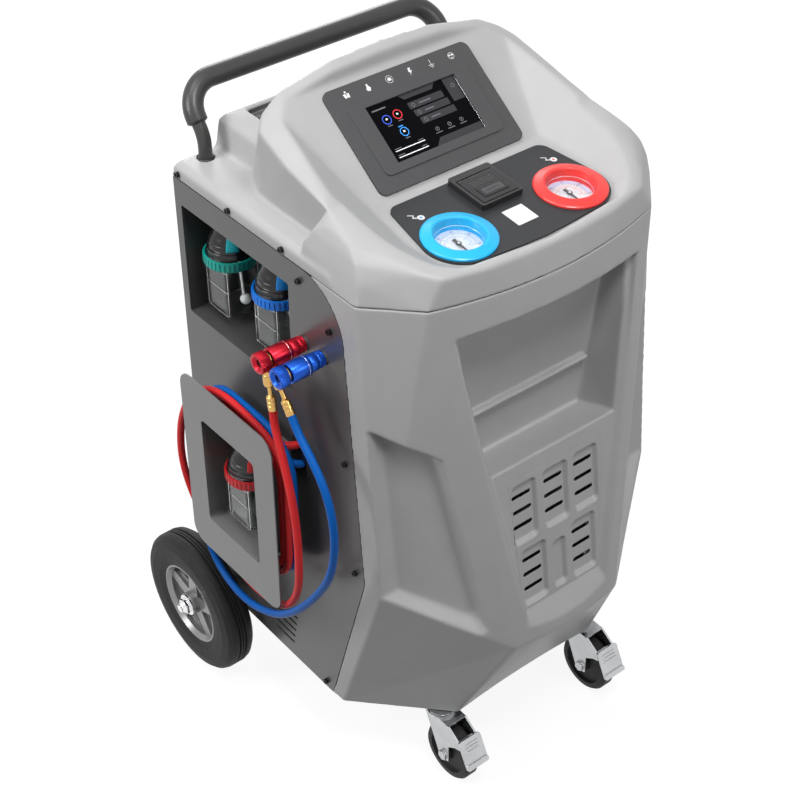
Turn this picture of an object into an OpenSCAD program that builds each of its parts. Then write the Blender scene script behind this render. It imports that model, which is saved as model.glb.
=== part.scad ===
// Wheeled refrigerant recovery machine for vehicle air conditioning.
// The front faces -Y, the floor is Z = 0 and X = 0 is the plane of symmetry of the housing.

/* [Housing] */
// Width over the two side panels
body_w = 540; // [520:1:560]
// Y of the rear panel's outer face
body_rear = 255; // [245:1:265]
// Height of the seam between the front cover and the top cover
seam_z = 926; // [910:1:940]
// Height of the underside of the base plate
base_z = 140; // [138:1:144]
// Height of the lower edge of the side panels
skirt_z = 129; // [124:1:134]
// Thickness of the steel sheet
sheet = 2; // [1.5:0.1:2.5]
// Wall of the moulded covers
wall = 4; // [3:0.1:5]
// Shadow gap between neighbouring housing pieces
seam_gap = 0.8; // [0.5:0.1:1.5]
// Radius of the side panel's upper front corner
panel_r = 90; // [70:1:100]

/* [Front cover] */
// Front-most Y of the cover, at the crease
front_y = -347; // [-352:1:-342]
// Half width between the ridges at the seam
ridge_top_x = 204; // [196:1:210]
// Half width between the ridges at the crease
ridge_low_x = 106; // [100:1:114]
// Height of the crease at the ridges
crease_z = 319; // [310:1:330]
// Height of the crease at the side panels
crease_side_z = 434; // [425:1:445]
// Depth of the recess that holds the grille
recess_d = 20; // [16:1:24]
// Depth of the tool tray behind the recess
tray_d = 80; // [60:1:90]
// Depth of the recess in each flank
flank_d = 18; // [12:1:20]

/* [Top cover] */
// Height of the shoulder along each side
shoulder_z = 950; // [945:1:956]
// Height of the highest point of the rim
rim_z = 1112; // [1104:1:1120]
// Slope of the display panel from level
display_tilt = 36; // [32:0.5:40]
// Slope of the instrument plate from level
plate_tilt = 5; // [3:0.5:7]
// Y of the valley between display and instruments
valley_y = -56; // [-60:1:-52]
// Height of that valley
valley_z = 976; // [972:1:980]

/* [Console] */
// Width of the display panel
display_w = 260; // [250:1:270]
// Height of the display panel along its slope
display_h = 168; // [160:1:172]
// Visible width of the screen
screen_w = 160; // [150:1:166]
// Visible height of the screen
screen_h = 90; // [84:1:96]
// Distance from the middle to each gauge
gauge_x = 101; // [94:1:102]
// Outer radius of the gauge bezels
gauge_r = 53; // [50:0.5:55]
// Radius of the gauge dials
dial_r = 33; // [30:0.5:35]
// Width of the printer
printer_w = 74; // [68:1:80]
// Length of the printer
printer_l = 76; // [70:1:80]

/* [Wheels] */
// Radius of the rear tyres
tyre_r = 127; // [120:1:128]
// Width of the rear tyres
tyre_w = 55; // [48:1:58]
// Radius of the rear rims
rim_r = 73; // [68:1:78]
// Diameter of the rear axle
axle_d = 20; // [18:0.5:22]
// Y of the rear axle
axle_y = 220; // [216:1:226]
// Radius of the caster wheels
caster_r = 50; // [46:1:51]
// Width of the caster wheels
caster_w = 28; // [24:1:30]
// X of the caster stems
caster_x = 152; // [146:1:154]
// Y of the caster stems
caster_y = -224; // [-228:1:-218]
// Distance from the caster stem forward to its wheel
caster_trail = 30; // [26:1:34]

/* [Handle] */
// Diameter of the handle tube
handle_d = 25; // [22:0.5:27]
// Outer diameter of the grip sleeve
grip_d = 31; // [29:0.5:34]
// X of the handle legs
handle_x = 226; // [220:1:230]
// Height of the grip's middle line
handle_z = 1045; // [1035:1:1055]

/* [Hose side] */
// Outer face of the hose hanger, from the middle
hanger_x = 340; // [336:1:346]
// Width of the hanger plate
hanger_w = 234; // [224:1:244]
// Height of the hanger plate
hanger_h = 336; // [326:1:346]
// Outer diameter of the hoses
hose_d = 12; // [11:0.5:13]
// Y of the red coupler's post
red_post_y = -54; // [-58:1:-50]
// Y of the blue coupler's post
blue_post_y = -97; // [-101:1:-93]
// Height of both posts
post_z = 803; // [795:1:810]
// Radius of the bottle collars
collar_r = 42; // [40:0.5:43]
// Height of the bottle jars
jar_h = 90; // [84:1:92]

/* [Hidden] */
$fn = 64;
half_w = body_w / 2;
// Running clearance on a radius and clearance between still pieces
run = 0.05;
fit = 0.3;
eps = 0.01;

// Outline helpers
module rounded_rect(w, h, r) {
  for (s = [-1, 1]) {
    square([w - 2 * r, h], center = true);
    square([w, h - 2 * r], center = true);
    for (t = [-1, 1]) translate([s * (w / 2 - r), t * (h / 2 - r)]) circle(r);
  }
}
// Lays an XY outline on the YZ plane: outline x becomes Y and outline y becomes Z
module on_side(x, thick) {
  translate([x, 0, 0]) rotate([90, 0, 90]) linear_extrude(thick) children();
}
// Bar along X with its middle at p
module x_rod(p, d, l) {
  translate(p) rotate([0, 90, 0]) cylinder(d = d, h = l, center = true);
}
// Convex solid round a list of points
module wrap(points) {
  hull() polyhedron(points, [[for (i = [0 : len(points) - 1]) i]]);
}
// Closed solid through rings of equally many points, each ring counter-clockwise from above
module loft(rings) {
  n = len(rings[0]);
  last = (len(rings) - 1) * n;
  sides = [
    for (k = [0 : len(rings) - 2], i = [0 : n - 1])
      let (a = k * n + i, b = k * n + (i + 1) % n)
        each [[a, a + n, b + n], [a, b + n, b]]
  ];
  polyhedron(
    [for (ring = rings) each ring],
    concat([[for (i = [0 : n - 1]) i]], sides, [[for (i = [n - 1 : -1 : 0]) last + i]])
  );
}
function both_sides(points) = [for (p = points, s = [-1, 1]) [s * p[0], p[1], p[2]]];
function lerp(a, b, t) = a + (b - a) * t;

// Side panel outline in YZ, grown by g at the front edge
panel_top = seam_z - seam_gap;
panel_foot_y = -94;
panel_kink_y = -181;
panel_chest_y = -145;
module panel_outline(g = 0) {
  arc_y = panel_chest_y + panel_r;
  arc_z = panel_top - panel_r;
  polygon(concat(
    [[body_rear, skirt_z - g], [body_rear, panel_top + g], [arc_y, panel_top + g]],
    [for (a = [90 : 7.5 : 180]) [arc_y + (panel_r + g) * cos(a), arc_z + (panel_r + g) * sin(a)]],
    [[panel_kink_y - g, crease_side_z], [panel_foot_y - g * 1.2, skirt_z - g]]
  ));
}

// Openings in the left panel
bay_y0 = -23;
bay_y1 = 239;
bay_z0 = 697;
bay_z1 = 884;
tunnel_y0 = -13;
tunnel_y1 = 122;
tunnel_z0 = 394;
tunnel_z1 = 593;
grommet_y = -36;
grommet_z = 588;
grommet_h = 70;
grommet_w = 30;
post_d = 12;
louvre_rows = 5;

module louvres(y, z) {
  for (k = [0 : louvre_rows - 1])
    translate([y - k * 3, z + k * 16]) rotate(0) {
      square([46, 5], center = true);
      for (s = [-1, 1]) translate([s * 23, 0]) circle(2.5);
    }
}

module side_sheet() {
  difference() {
    panel_outline();
    louvres(34, 160);
    translate([axle_y, tyre_r]) circle(d = spacer_d + 6);
    translate([axle_y, tyre_r - 20]) square([spacer_d + 6, 40], center = true);
  }
}

module left_side_panel() {
  color("dimgray") on_side(-half_w, sheet) difference() {
    side_sheet();
    translate([(bay_y0 + bay_y1) / 2, (bay_z0 + bay_z1) / 2])
      rounded_rect(bay_y1 - bay_y0, bay_z1 - bay_z0, 4);
    translate([(tunnel_y0 + tunnel_y1) / 2, (tunnel_z0 + tunnel_z1) / 2])
      rounded_rect(tunnel_y1 - tunnel_y0 + 2 * (sheet + fit), tunnel_z1 - tunnel_z0 + 2 * (sheet + fit), 6);
    translate([grommet_y, grommet_z]) rounded_rect(grommet_w, grommet_h, grommet_w / 2 - eps);
    for (y = [red_post_y, blue_post_y]) translate([y, post_z]) circle(d = post_d + 2 * fit);
  }
}

module right_side_panel() {
  color("dimgray") on_side(half_w - sheet, sheet) side_sheet();
}

// Frame
post_w = 20;
post_t = 10;
front_post_y = -88;
rear_inner = body_rear - sheet - fit;
inner_x = half_w - sheet - fit;
shelf_z = 602;
base_t = 3;
floor_z = base_z + base_t;
bearing_x = 215;
bearing_w = 24;
gusset_t = 6;
module chassis() {
  // Edge of the base plate, just inside the foot of the front cover
  side = half_w - wall - fit;
  foot = cover_ring(foot_strip_y, 0, foot_ridge_x, foot_front_y, foot_bow, 0, wall + fit);
  base_edge = concat([for (p = foot) [p[0], p[1]]], [[side, rear_inner], [-side, rear_inner]]);
  color("gray") difference() {
    union() {
      translate([0, 0, base_z]) linear_extrude(base_t) polygon(base_edge);
      for (s = [-1, 1]) {
        for (y = [front_post_y, rear_inner - post_t])
          translate([s * (inner_x - post_w / 2), y + post_t / 2, (floor_z + seam_z) / 2])
            cube([post_w, post_t, seam_z - floor_z], center = true);
        translate([s * (inner_x - post_w / 2), (front_post_y + rear_inner) / 2, seam_z - post_t / 2])
          cube([post_w, rear_inner - front_post_y, post_t], center = true);
        translate([s * bearing_x, axle_y, (tyre_r - 22 + base_z) / 2])
          cube([bearing_w, 52, base_z - tyre_r + 22], center = true);
      }
      for (y = [front_post_y, rear_inner - post_t])
        translate([0, y + post_t / 2, seam_z - post_t / 2])
          cube([2 * inner_x, post_t, post_t], center = true);
      for (s = [-1, 1]) translate([s * handle_x, leg_y, seam_z - gusset_t])
        linear_extrude(gusset_t) square([2 * (inner_x - handle_x), 2 * (rear_inner - leg_y)], center = true);
      translate([0, (front_post_y + rear_inner) / 2, shelf_z])
        cube([2 * inner_x, rear_inner - front_post_y, sheet], center = true);
    }
    x_rod([0, axle_y, tyre_r], axle_d + 2 * run, body_w);
    for (s = [-1, 1]) translate([s * caster_x, caster_y, base_z]) cylinder(d = stem_d + 2 * run, h = 20, center = true);
    // Room for the hose grommet, and for the cover's lip at the front ends of the top rails
    translate([-inner_x, grommet_y, shelf_z]) cube([60, grommet_w + 16, 20], center = true);
    for (s = [-1, 1]) translate([s * inner_x, front_post_y, seam_z]) cube([12, 60, 24], center = true);
  }
}

inlet_x = 170;
inlet_z = 210;
inlet_w = 48;
inlet_h = 60;
module rear_panel() {
  color("dimgray") translate([0, body_rear, 0]) rotate([90, 0, 0]) linear_extrude(sheet) difference() {
    translate([0, (skirt_z + panel_top) / 2])
      square([2 * inner_x, panel_top - skirt_z], center = true);
    for (k = [0 : 9], s = [-1, 1]) translate([s * 90, 620 + k * 18]) {
      square([120, 6], center = true);
      for (t = [-1, 1]) translate([t * 60, 0]) circle(3);
    }
    translate([-inlet_x, inlet_z]) square([inlet_w - 8, inlet_h - 12], center = true);
  }
}

// Front cover: rings of the outer skin, moved in by t
skin_steps = 10;
cover_back = 60;
seam_strip_y = -172;
crease_strip_y = -218;
foot_strip_y = -120;
seam_bow = 33;
crease_bow = 11;
foot_bow = -6;
seam_front_y = -273;
foot_front_y = -247;
foot_ridge_x = 144;
function cover_ring(strip_y, strip_z, ridge_x, mid_y, bow, ridge_z, t) = let (h = half_w - t) concat(
  [[-h, cover_back, strip_z], [-h, strip_y + t, strip_z]],
  [for (i = [0 : skin_steps]) let (u = -1 + 2 * i / skin_steps)
    [u * (ridge_x - 0.5 * t), mid_y + bow * u * u + t, ridge_z]],
  [[h, strip_y + t, strip_z], [h, cover_back, strip_z]]
);
function cover_rings(t, over) = [
  cover_ring(foot_strip_y, skirt_z - over, foot_ridge_x, foot_front_y, foot_bow, skirt_z - over, t),
  cover_ring(crease_strip_y, crease_side_z, ridge_low_x, front_y, crease_bow, crease_z, t),
  cover_ring(seam_strip_y, panel_top + over, ridge_top_x, seam_front_y, seam_bow, panel_top + over, t)
];
// Y of the skin's middle and half width between the ridges at a height above the crease
function face_y(z) = lerp(front_y, seam_front_y, (z - crease_z) / (panel_top - crease_z));
function face_x(z) = lerp(ridge_low_x, ridge_top_x, (z - crease_z) / (panel_top - crease_z));

recess_top = 884;
recess_low = 316;
recess_rim = 18;
lip_z = 632;
tray_floor_z = 604;
// Shallow recess between the ridges, with a sloping sill
module recess(g) {
  wrap(both_sides([
    [face_x(recess_top) - recess_rim + g, face_y(recess_top) - 20, recess_top + g],
    [face_x(recess_low) - 12 + g, face_y(recess_low) - 20, recess_low - 6 - g],
    [face_x(recess_top) - recess_rim - 14 + g, face_y(recess_top) + recess_d + 14 + g, recess_top - 14 + g],
    [face_x(recess_low) - 32 + g, face_y(recess_low + 52) + recess_d + g, recess_low + 52 - g]
  ]));
}
// Tool tray: its floor drops towards the back behind a lip
module tray(g) {
  back = face_y(lip_z) + recess_d + tray_d + g;
  wrap(both_sides([
    [face_x(recess_top) - recess_rim - 18 + g, face_y(recess_top) + 10, recess_top - 18 + g],
    [face_x(recess_top) - recess_rim - 32 + g, back, recess_top - 34 + g],
    [face_x(lip_z) - 36 + g, face_y(lip_z) + recess_d - 4, lip_z - g],
    [face_x(lip_z) - 40 + g, back, tray_floor_z - g]
  ]));
}
// Flat-bottomed recess in a flank, between the strip and the ridge
flank_mouth = [[0.01, 0.01], [0.74, 0.00], [0.81, 0.03], [0.73, 0.575], [0.01, 0.607]];
flank_floor = [[0.13, 0.03], [0.66, 0.03], [0.72, 0.06], [0.64, 0.56], [0.13, 0.59]];
flank_lead = 12;
module flank_recess(g) {
  wrap([for (i = [0 : len(flank_mouth) - 1], d = [-flank_lead, flank_d + g]) let (
    q = lerp(flank_mouth[i], flank_floor[i], min(d, flank_d) / flank_d)
  ) flank_point(q[0] + (q[0] < 0.4 ? -g : g) / 160, q[1] + (q[1] < 0.2 ? -g : g) / 500, d)]);
}
// Point on the left flank: u from strip to ridge, v up from the crease, d in from the skin
function flank_point(u, v, d) = let (
  low = lerp([-half_w, crease_strip_y, crease_side_z], [-ridge_low_x, front_y + crease_bow, crease_z], u),
  high = lerp([-half_w, seam_strip_y, panel_top], [-ridge_top_x, seam_front_y + seam_bow, panel_top], u)
) lerp(low, high, v) + d * [0.66, 0.74, 0.1];

// Grille: pockets as [middle x, middle z, width, height, slots]
pocket_h = 100;
pocket_w = 46;
slot_w = 34;
slot_h = 6;
slot_pitch = 26;
pockets = [
  [-62, 540, pocket_w, pocket_h, 3], [0, 540, pocket_w, pocket_h, 3], [60, 540, pocket_w, pocket_h, 3],
  [-50, 424, pocket_w, pocket_h, 3], [50, 424, pocket_w, pocket_h, 3], [0, 418, 24, 84, 0]
];
pocket_d = 7;
module stadium(w, h) {
  square([w - h, h], center = true);
  for (s = [-1, 1]) translate([s * (w - h) / 2, 0]) circle(h / 2, $fn = 16);
}
// Cuts an outline through the recess floor at a height
module through_grille(x, z, from, to) {
  translate([x, face_y(z) + recess_d + from, z]) rotate([-90, 0, 0]) linear_extrude(to - from) children();
}
module grille_cuts() {
  for (p = pockets) {
    through_grille(p[0], p[1], -10, pocket_d) rounded_rect(p[2], p[3], 8, $fn = 16);
    if (p[4] > 0) for (k = [-1 : 1])
      through_grille(p[0], p[1] + k * slot_pitch, -10, 40) stadium(slot_w, slot_h);
  }
}
// Floor plate of the pockets, behind the recess
module grille_back() {
  for (p = pockets) through_grille(p[0], p[1], 0, pocket_d + wall) square([p[2] + 2 * wall, p[3] + 2 * wall], center = true);
}
rail_z = 690;
module tray_rail() {
  y = face_y(lip_z) + recess_d + tray_d;
  hull() {
    x_rod([0, y - 8, rail_z], 8, 2 * (face_x(rail_z) - 44));
    x_rod([0, y + wall - 1, rail_z - 4], 12, 2 * (face_x(rail_z) - 44));
  }
}

module front_cover() {
  color("darkgray") difference() {
    union() {
      difference() {
        loft(cover_rings(0, 0));
        difference() {
          loft(cover_rings(wall, 1));
          recess(wall);
          tray(wall);
          grille_back();
          for (s = [0, 1]) mirror([s, 0, 0]) flank_recess(wall);
        }
        recess(0);
        tray(0);
        for (s = [0, 1]) mirror([s, 0, 0]) flank_recess(0);
      }
      tray_rail();
    }
    grille_cuts();
    on_side(-half_w - 1, body_w + 2) panel_outline(seam_gap);
  }
}

// Top cover
cover_low = seam_z;
rim_side_x = 238;
rim_rear_y = 112;
ear_x = half_w - 2;
// Rim points, from the rear round to the front lip
rim_points = [
  [0, rim_rear_y, rim_z], [90, rim_rear_y, rim_z - 4], [180, rim_rear_y - 2, rim_z - 22],
  [214, rim_rear_y - 10, rim_z - 40], [232, rim_rear_y - 28, rim_z - 54], [rim_side_x, 15, 1036], [rim_side_x, -76, 1014]
];
lip_points = [
  [rim_side_x, -76, 1014], [228, -140, 1000], [214, -190, 984], [198, -224, 971], [180, -240, 967],
  [120, -254, 966], [60, -260, 966], [0, -262, 966]
];
ear_points = [
  [half_w, seam_strip_y, cover_low], [ear_x - 5, seam_strip_y + 3, 958], [ear_x - 11, seam_strip_y + 12, 980],
  [ear_x - 17, seam_strip_y + 28, 994], [ear_x - 20, -122, 1001], [ear_x - 20, -100, 1002], [ear_x - 17, -82, 998],
  [ear_x - 11, -66, 985], [ear_x - 4, -54, 962], [half_w, -48, cover_low]
];
seam_points = [
  for (i = [0 : skin_steps]) let (u = i / skin_steps)
    [u * ridge_top_x, seam_front_y + seam_bow * u * u, cover_low]
];
// Moves a point in by t towards the middle of the cover, the foot staying open
function inset(p, t) = [
  p[0] - sign(p[0]) * t, p[1] - sign(p[1] + 60) * t, p[2] <= cover_low + eps ? p[2] - (t > 0 ? 1 : 0) : p[2] - t
];
module cover_hull(points, t) {
  wrap(both_sides([for (p = points) inset(p, t)]));
}
block_x = 190;
block_z = 1000;
// Outer form of the top cover moved in by t
module cover_form(t) {
  cover_hull(concat(seam_points, ear_points, lip_points), t);
  cover_hull(concat(rim_points, [
    [226, -80, cover_low], [226, 100, cover_low], [200, 160, cover_low], [200, 150, shoulder_z]
  ]), t);
  cover_hull([
    [half_w, seam_strip_y + 40, cover_low], [half_w, body_rear, cover_low], [half_w, body_rear, shoulder_z - 8],
    [half_w - 8, body_rear - 6, shoulder_z], [half_w - 8, seam_strip_y + 60, shoulder_z],
    [half_w, seam_strip_y + 60, shoulder_z - 8]
  ], t);
  cover_hull([
    [block_x + 12, body_rear - 1, cover_low], [block_x + 12, 100, cover_low], [block_x, body_rear - 4, block_z - 8],
    [block_x - 8, body_rear - 10, block_z], [block_x - 8, 110, block_z], [block_x, 110, block_z - 8]
  ], t);
}
function slope_point(x, v) = [x, valley_y + v * cos(display_tilt), valley_z + v * sin(display_tilt)];
function plate_point(x, w) = [x, valley_y - w * cos(plate_tilt), valley_z - w * sin(plate_tilt)];
function grow(p, t) = [p[0] + sign(p[0]) * t, p[1] + sign(p[1] + 60) * t, p[2] - t];
sky = 1180;
// Dish over the display and dish over the instruments, grown by t
module dish(t) {
  display = [
    slope_point(156, 0), slope_point(200, 160), slope_point(190, 184),
    [192, rim_rear_y - 12, sky], [206, 70, sky], [246, valley_y - 8, 1040], [246, valley_y - 8, sky]
  ];
  plate = [
    plate_point(156, 0), plate_point(166, 90), plate_point(158, 150), plate_point(132, 176), plate_point(0, 190),
    [246, valley_y - 8, 1040], [246, -150, 1022], [226, -196, 1004], [186, -240, 986], [150, -251, 982], [0, -266, 982],
    [246, valley_y - 8, sky], [246, -150, sky], [186, -240, sky], [0, -266, sky]
  ];
  for (points = [display, plate]) wrap(both_sides([for (p = points) grow(p, t)]));
}
module rear_tray() {
  wrap(both_sides([
    [150, 170, block_z + 1], [150, 238, block_z + 1], [140, 178, block_z - 30], [140, 230, block_z - 30]
  ]));
}
module top_cover() {
  color("silver") difference() {
    cover_form(0);
    difference() {
      cover_form(wall);
      dish(wall);
      translate([0, 0, -wall]) rear_tray();
    }
    dish(0);
    rear_tray();
    on_display(screen_v, -20) linear_extrude(40) square([screen_w + 24, screen_h + 24], center = true);
    for (s = [-1, 1]) on_plate(s * gauge_x, gauge_w, -40) cylinder(r = dial_r + 6, h = 80);
    on_plate(0, printer_c, -40) linear_extrude(80) square([printer_w - 8, printer_l - 8], center = true);
    for (s = [-1, 1]) translate([s * handle_x, leg_y, shoulder_z]) cylinder(d = handle_d + 1, h = 60, center = true);
  }
}

// Console frames: Z is normal to the panel, v and w run away from the valley
module on_display(v, z) {
  translate(slope_point(0, v)) rotate([display_tilt, 0, 0]) translate([0, 0, z]) children();
}
module on_plate(x, w, z) {
  translate(plate_point(x, w)) rotate([plate_tilt, 0, 0]) translate([0, 0, z]) children();
}
panel_t = 4;
panel_v0 = 4;
panel_v = panel_v0 + display_h / 2;
screen_v = panel_v - 3;
bezel_t = 2;
module display_panel() {
  color("dimgray") on_display(panel_v, fit) difference() {
    union() {
      linear_extrude(panel_t) rounded_rect(display_w, display_h, 12);
      translate([0, screen_v - panel_v, panel_t]) linear_extrude(bezel_t) rounded_rect(214, 116, 10);
    }
    translate([0, screen_v - panel_v, 0]) linear_extrude(20, center = true) square([screen_w, screen_h], center = true);
    translate([0, screen_v - panel_v, -1]) linear_extrude(panel_t) square([screen_w + 10, screen_h + 10], center = true);
  }
}
module touch_screen() {
  color("black") on_display(screen_v, 0) {
    translate([0, 0, panel_t + fit - 1.5 - 2]) linear_extrude(2) square([screen_w + 9, screen_h + 9], center = true);
    translate([0, 0, -12]) linear_extrude(12 + panel_t + fit - 3.5) square([screen_w + 4, screen_h + 4], center = true);
  }
}

gauge_w = 124;
plate_t = 3;
plate_top = plate_t + fit;
printer_c = 60;
printer_h = 9;
module plate_outline() {
  polygon([
    [-140, -20], [140, -20], [gauge_x + gauge_r + 2, -gauge_w + 10], [gauge_x + gauge_r - 6, -gauge_w - 30],
    [gauge_x + 14, -gauge_w - gauge_r - 1], [40, -184], [0, -186], [-40, -184], [-gauge_x - 14, -gauge_w - gauge_r - 1],
    [-gauge_x - gauge_r + 6, -gauge_w - 30], [-gauge_x - gauge_r - 2, -gauge_w + 10]
  ]);
}
module instrument_plate() {
  color("#3c3d40") on_plate(0, 0, fit) difference() {
    union() {
      linear_extrude(plate_t) plate_outline();
      for (s = [-1, 1]) translate([s * gauge_x, -gauge_w, 0]) cylinder(r = gauge_r + 3, h = plate_t);
    }
    for (s = [-1, 1]) translate([s * gauge_x, -gauge_w, -1]) cylinder(r = dial_r + 4 + fit, h = plate_t + 2);
    translate([0, -printer_c, -1]) linear_extrude(plate_t + 2) square([printer_w - 8, printer_l - 8], center = true);
  }
}
// Deep conical bezel: its flange lies on the plate and its throat drops to the dial
dial_drop = 13;
module gauge_bezel(s, c) {
  color(c) on_plate(s * gauge_x, gauge_w, plate_top) rotate_extrude() polygon([
    [dial_r, -dial_drop], [dial_r + 4, -dial_drop], [dial_r + 4, 0], [gauge_r, 0], [gauge_r, 2.5],
    [gauge_r - 2, 4], [dial_r + 7, 7], [dial_r + 4, 7], [dial_r + 2.5, 5.5]
  ]);
}
module low_gauge_bezel() { gauge_bezel(-1, "deepskyblue"); }
module high_gauge_bezel() { gauge_bezel(1, "tomato"); }
case_h = 26;
spindle_d = 4;
module gauge_cases() {
  color("whitesmoke") for (s = [-1, 1]) on_plate(s * gauge_x, gauge_w, plate_top - dial_drop) {
    translate([0, 0, -2]) cylinder(r = dial_r + 4, h = 2 - eps);
    translate([0, 0, -case_h]) cylinder(r = dial_r - 1, h = case_h - 2);
    translate([0, 0, -case_h - 16]) cylinder(d = 14, h = 16);
    translate([0, 0, -eps]) cylinder(d = spindle_d, h = 4);
  }
}
glass_z = 7;
module gauge_glasses() {
  color("lightcyan", 0.4) for (s = [-1, 1]) on_plate(s * gauge_x, gauge_w, plate_top - dial_drop + glass_z)
    cylinder(r = dial_r - 0.1, h = 1.5);
}
needle_t = 1;
module gauge_needle(s, turn) {
  color("black") on_plate(s * gauge_x, gauge_w, plate_top - dial_drop + 1.5) rotate(turn) difference() {
    union() {
      cylinder(d = 8, h = needle_t + 1);
      linear_extrude(needle_t) polygon([[-1.6, 0], [-2.4, 11], [2.4, 11], [1.6, 0], [0.4, -26], [-0.4, -26]]);
    }
    cylinder(d = spindle_d + 2 * run, h = 10, center = true);
  }
}
needle_rest = 0;
module low_gauge_needle() { gauge_needle(-1, needle_rest); }
module high_gauge_needle() { gauge_needle(1, needle_rest); }

// Printer with a paper lid hinged at its upper edge
lid_t = 5.5;
lid_pin_d = 3;
lid_l = printer_l - 16;
lid_gap = 0.5;
pocket_low = printer_h - 5;
lid_w = printer_w - 10 - 2 * lid_gap;
lid_back = 26;
hinge_y = lid_back - lid_t / 2 - 1;
hinge_z = pocket_low + fit + lid_t / 2;
module printer_body() {
  color("#1d1d1f") on_plate(0, printer_c, plate_top) difference() {
    union() {
      linear_extrude(printer_h) rounded_rect(printer_w, printer_l, 4);
      translate([0, 0, -24]) linear_extrude(24) square([printer_w - 10, printer_l - 10], center = true);
    }
    translate([-lid_w / 2 - lid_gap, lid_back - lid_l, pocket_low]) cube([lid_w + 2 * lid_gap, lid_l, 20]);
    translate([-lid_w / 2 + 4, lid_back - lid_l + 5, printer_h - 20]) cube([lid_w - 8, lid_l - 12, 20]);
    x_rod([0, hinge_y, hinge_z], lid_pin_d + 2 * run, printer_w - 3);
  }
}
module printer_lid() {
  color("#26262a") on_plate(0, printer_c, plate_top) {
    translate([-lid_w / 2, lid_back - lid_l + lid_gap, pocket_low + fit])
      cube([lid_w, hinge_y - lid_back + lid_l - lid_gap, lid_t]);
    x_rod([0, hinge_y, hinge_z], lid_t, lid_w);
    x_rod([0, hinge_y, hinge_z], lid_pin_d, printer_w - 4);
    translate([0, lid_back - lid_l + 20, pocket_low + fit + lid_t]) linear_extrude(1)
      square([lid_w - 20, 22], center = true);
  }
}

// Handle: a bent tube whose grip sleeve runs round both corners
leg_y = 232;
leg_lean = atan(3 / 4);
leg_r = 45;
corner_r = 48;
leg_top = handle_z - 62;
leg_len = (handle_z - leg_top) / cos(leg_lean);
bend_l = leg_r * tan(leg_lean / 2);
grip_tail = 6;
module leg_frame() {
  translate([0, leg_y, leg_top]) rotate([-leg_lean, 0, 0]) children();
}
// Tube along the whole handle, or along the grip only
module handle_path(d, full) {
  low = full ? bend_l : leg_len - corner_r - grip_tail;
  if (full) for (s = [-1, 1]) {
    translate([s * handle_x, leg_y, cover_low]) rotate([0, 0, 45]) cylinder(d = d, h = leg_top - bend_l - cover_low);
    translate([s * handle_x, leg_y + leg_r, leg_top - bend_l]) rotate([90, 0, -90])
      rotate_extrude(angle = leg_lean) translate([leg_r, 0]) circle(d = d);
  }
  leg_frame() {
    for (s = [-1, 1]) {
      translate([s * handle_x, 0, low]) rotate([0, 0, 45]) cylinder(d = d, h = leg_len - corner_r - low);
      translate([s * (handle_x - corner_r), 0, leg_len - corner_r]) rotate([90, 0, s > 0 ? 0 : 180])
        rotate_extrude(angle = 90) translate([corner_r, 0]) circle(d = d);
    }
    x_rod([0, 0, leg_len], d, 2 * (handle_x - corner_r));
  }
}
module handle_tube() {
  color("dimgray") handle_path(handle_d, true);
}
module handle_grip() {
  color("#58595b") difference() {
    handle_path(grip_d, false);
    handle_path(handle_d + 0.1, true);
  }
}

// Rear axle, wheels and acorn nuts
wheel_in = 288;
hub_w = tyre_w - 6;
washer_t = 3;
spacer_d = axle_d + 5;
nut_tip = 358;
module rear_axle() {
  color("lightgray") {
    x_rod([0, axle_y, tyre_r], axle_d, 2 * (wheel_in + tyre_w) - 4);
    for (s = [-1, 1]) translate([s * (wheel_in + tyre_w - 3 + fit), axle_y, tyre_r]) rotate([0, s * 90, 0]) difference() {
      union() {
        cylinder(r = 19, h = washer_t);
        translate([0, 0, washer_t]) cylinder(r = 14, h = 7, $fn = 6);
        translate([0, 0, washer_t + 7]) cylinder(r1 = 11, r2 = 7, h = nut_tip - wheel_in - tyre_w + 3 - fit - washer_t - 9);
        translate([0, 0, washer_t + 5]) cylinder(r = 7, h = nut_tip - wheel_in - tyre_w + 3 - fit - washer_t - 5);
      }
      cylinder(d = axle_d + 0.2, h = 2 * washer_t, center = true);
    }
    for (s = [-1, 1]) translate([s * (wheel_in - (wheel_in - bearing_x - bearing_w / 2) / 2), axle_y, tyre_r]) rotate([0, 90, 0]) difference() {
      cylinder(d = spacer_d, h = wheel_in - bearing_x - bearing_w / 2 - 2 * fit, center = true);
      cylinder(d = axle_d + 0.2, h = 200, center = true);
    }
  }
}
module wheel_frame(s) {
  translate([s * wheel_in, axle_y, tyre_r]) rotate([0, s * 90, 0]) children();
}
module tyre(s) {
  color("#202020") wheel_frame(s) rotate_extrude($fn = 96) polygon([
    [rim_r + 0.1, 4], [rim_r + 14, 1], [tyre_r - 22, 0], [tyre_r - 8, 3], [tyre_r - 2, 9], [tyre_r, 16],
    [tyre_r, 20], [tyre_r - 3, 21], [tyre_r - 3, 23], [tyre_r, 24], [tyre_r, tyre_w / 2 - 1], [tyre_r - 3, tyre_w / 2],
    [tyre_r, tyre_w / 2 + 1], [tyre_r, tyre_w - 24], [tyre_r - 3, tyre_w - 23], [tyre_r - 3, tyre_w - 21], [tyre_r, tyre_w - 20],
    [tyre_r, tyre_w - 16], [tyre_r - 2, tyre_w - 9], [tyre_r - 8, tyre_w - 3], [tyre_r - 22, tyre_w],
    [rim_r + 14, tyre_w - 1], [rim_r + 0.1, tyre_w - 4]
  ]);
}
module left_tyre() { tyre(-1); }
module right_tyre() { tyre(1); }
spokes = 5;
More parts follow.
